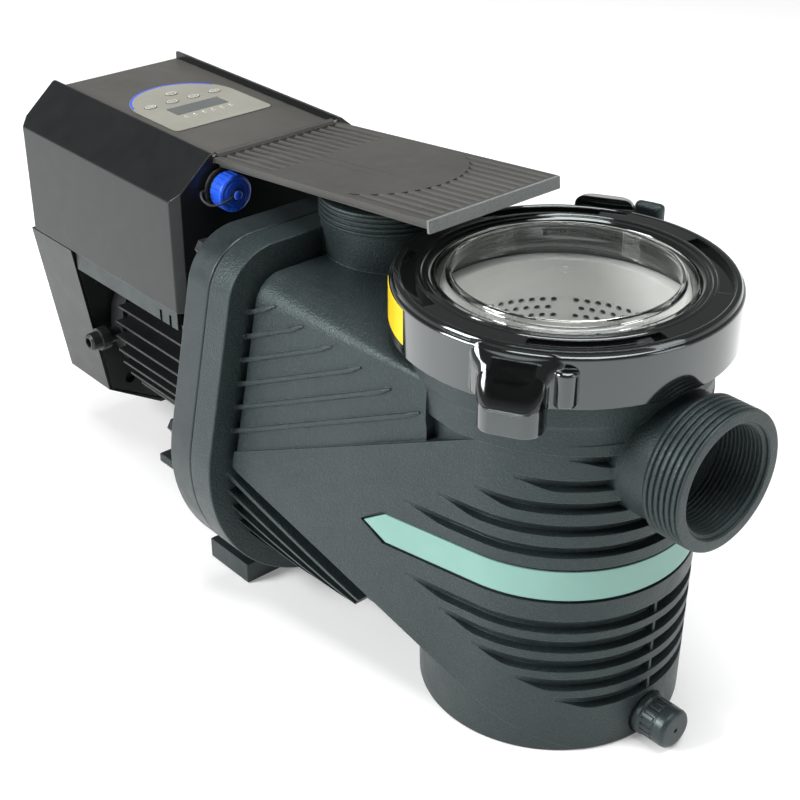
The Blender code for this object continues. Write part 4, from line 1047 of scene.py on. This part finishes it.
def make_cap():
    cap = lathe("blue_cap_moulding", [
        (2.1, -236), (7.6, -236), (8.2, -236.5), (9.6, -236.6), (10.2, -236), (11, -236.2),
        (11.8, -236.9), (12, -238), (12, -247), (11.6, -247.6), (7.2, -247.6), (7.2, -239.5),
        (2.1, -239.5)], "X", CAP, 96)
    cut(cap, flutes("cap_flutes", CAP, 18, 0, (-248, 11.2, -0.75), (-238.2, 14, 0.75)))
    piece(cap, "connector_cap", ("connector_cap",), BLUE, 35)
    button = lathe("cap_button_moulding", [
        (0, -232.6), (1.8, -232.7), (2.6, -233), (3.1, -233.6), (3.2, -234.2), (1.7, -234.2),
        (1.7, -239.8), (3.2, -239.8), (3.2, -240.2), (0, -240.2)], "X", CAP, 48, False)
    piece(button, "cap_travel", ("cap_button",), BLUE, 35)


def smooth_route(points, between):
    """A smooth curve through the points, with between steps from each point to the next."""
    out = []
    last = len(points) - 1
    for i in range(last):
        p0, p1 = Vector(points[max(i - 1, 0)]), Vector(points[i])
        p2, p3 = Vector(points[i + 1]), Vector(points[min(i + 2, last)])
        for k in range(between):
            t = k / between
            out.append(0.5 * (2 * p1 + (p2 - p0) * t + (2 * p0 - 5 * p1 + 4 * p2 - p3) * t * t
                              + (3 * p1 - p0 - 3 * p2 + p3) * t ** 3))
    out.append(Vector(points[last]))
    return out


def make_strap():
    """Strap from an eye behind the button, looping beside the cap to a ring on the socket's neck."""
    eye = lathe("cap_strap", [(4, -234.5), (4, -235.7), (2, -235.7), (2, -234.5)], "X", CAP, 48)
    route = [(x, CAP_Y - y, CAP_Z + z) for x, y, z in (
        (-235.1, 3.2, -0.8), (-235.1, 9, -2.4), (-236, 14, -3.6), (-239, 18, -3.4),
        (-243.5, 20, -1), (-247.5, 18.5, 1.6), (-250, 15.5, 1.4), (-250.8, 12.2, 0.6))]
    ring = lathe("strap_ring", [(13.2, -250), (13.2, -251.6), (11.4, -251.6), (11.4, -250)], "X",
                 CAP, 64)
    join(eye, tube("strap_strand", smooth_route(route, 8), 0.75), ring)
    dress(eye, RUBBER)
    smooth(eye, 40)
    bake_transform(eye)
    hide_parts("cap_tether")


make_body()
make_seal_plate()
make_lid()
make_lock_ring()
make_basket()
make_drain_plug()
make_motor()
make_hood()
make_keypad()
make_flap()
make_cap()
make_strap()

# ---------------- finishes of the CAD nodes that stay

KEPT = {
    GRAINED: ("diffuser", "impeller", "cooling_fan", "motor_foot"),
    CAST: ("front_bell", "rear_bell", "heat_spreader", "fan_shroud", "cable_gland"),
    SMOOTH_BODY: ("controller_base",),
    HOOD_SIDE: ("rear_cover", "connector_socket", "capacitor_1", "capacitor_2"),
    STEEL: ("shaft", "hinge_pin", "front_bearing", "rear_bearing", "seal_rotor", "impeller_nut"),
    WINDING: ("stator", "rotor_core"),
    BOARD: ("circuit_board",),
    RUBBER: ("flange_seal", "lid_seal", "drain_plug_seal", "slinger"),
    BASKET: ("seal_seat",),
}
for mat, names in KEPT.items():
    for name in names:
        dress(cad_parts[name], mat)
for name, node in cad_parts.items():
    if name.startswith(("flange_bolt", "cover_screw")):
        dress(node, BLACK_STEEL)

# ---------------- floor, light and camera


def floor_material():
    mat, n, shader, coord = new_material("pale_floor", {
        "Specular IOR Level": 0.2, "Emission Color": (*WHITE, 1), "Emission Strength": 0.2})
    n.link(n.mix(n.spread(n.noise(coord, 3), 0, 1), (0.86, 0.86, 0.86), (0.88, 0.88, 0.88)),
           shader.inputs["Base Color"])
    n.link(n.spread(n.noise(coord, 40), 0.55, 0.65), shader.inputs["Roughness"])
    return mat


bm = bmesh.new()
bmesh.ops.create_grid(bm, x_segments=4, y_segments=4, size=6000)
floor = finish_mesh(bm, "floor")
floor.location.z = -0.0004
floor.data.materials.append(floor_material())


def soft_light(name, place, target, size, power):
    light = bpy.data.lights.new(name, "AREA")
    light.shape = "RECTANGLE"
    light.size, light.size_y = size
    light.energy = power
    obj = bpy.data.objects.new(name, light)
    obj.location = place
    obj.rotation_euler = (Vector(target) - Vector(place)).to_track_quat("-Z", "Y").to_euler()
    SCENE.collection.objects.link(obj)


soft_light("top_softbox", (0.2, 0.1, 2.3), (-0.1, 0, 0.1), (1.6, 1.6), 58)
soft_light("left_softbox", (-1, -2, 1.35), (-0.15, 0, 0.15), (0.9, 0.9), 70)
soft_light("right_softbox", (1.9, 0.7, 1), (0, 0, 0.2), (0.8, 1.2), 8)

world = bpy.data.worlds.new("studio")
SCENE.world = world
world.use_nodes = True
studio = Nodes(world)
sky = world.node_tree.nodes["Background"]
sky.inputs["Color"].default_value = (*WHITE, 1)
height = studio.add("ShaderNodeSeparateXYZ")
studio.link(studio.add("ShaderNodeTexCoord").outputs["Generated"], height.inputs["Vector"])
studio.link(studio.spread(height.outputs["Z"], 0.7, 0.14, 0.02, 0.4), sky.inputs["Strength"])
SCENE.view_settings.view_transform = "Standard"

camera_data = bpy.data.cameras.new("camera")
camera_data.lens = 70.3
camera_data.sensor_width = 36.0
camera_data.clip_start = 0.01
camera = bpy.data.objects.new("camera", camera_data)
SCENE.collection.objects.link(camera)
ahead = Vector((-0.6566, 0.5683, -0.4958)).normalized()
camera.rotation_euler = ahead.to_track_quat("-Z", "Y").to_euler()
camera.location = (0.5132, -0.5610, 0.6156)
SCENE.camera = camera
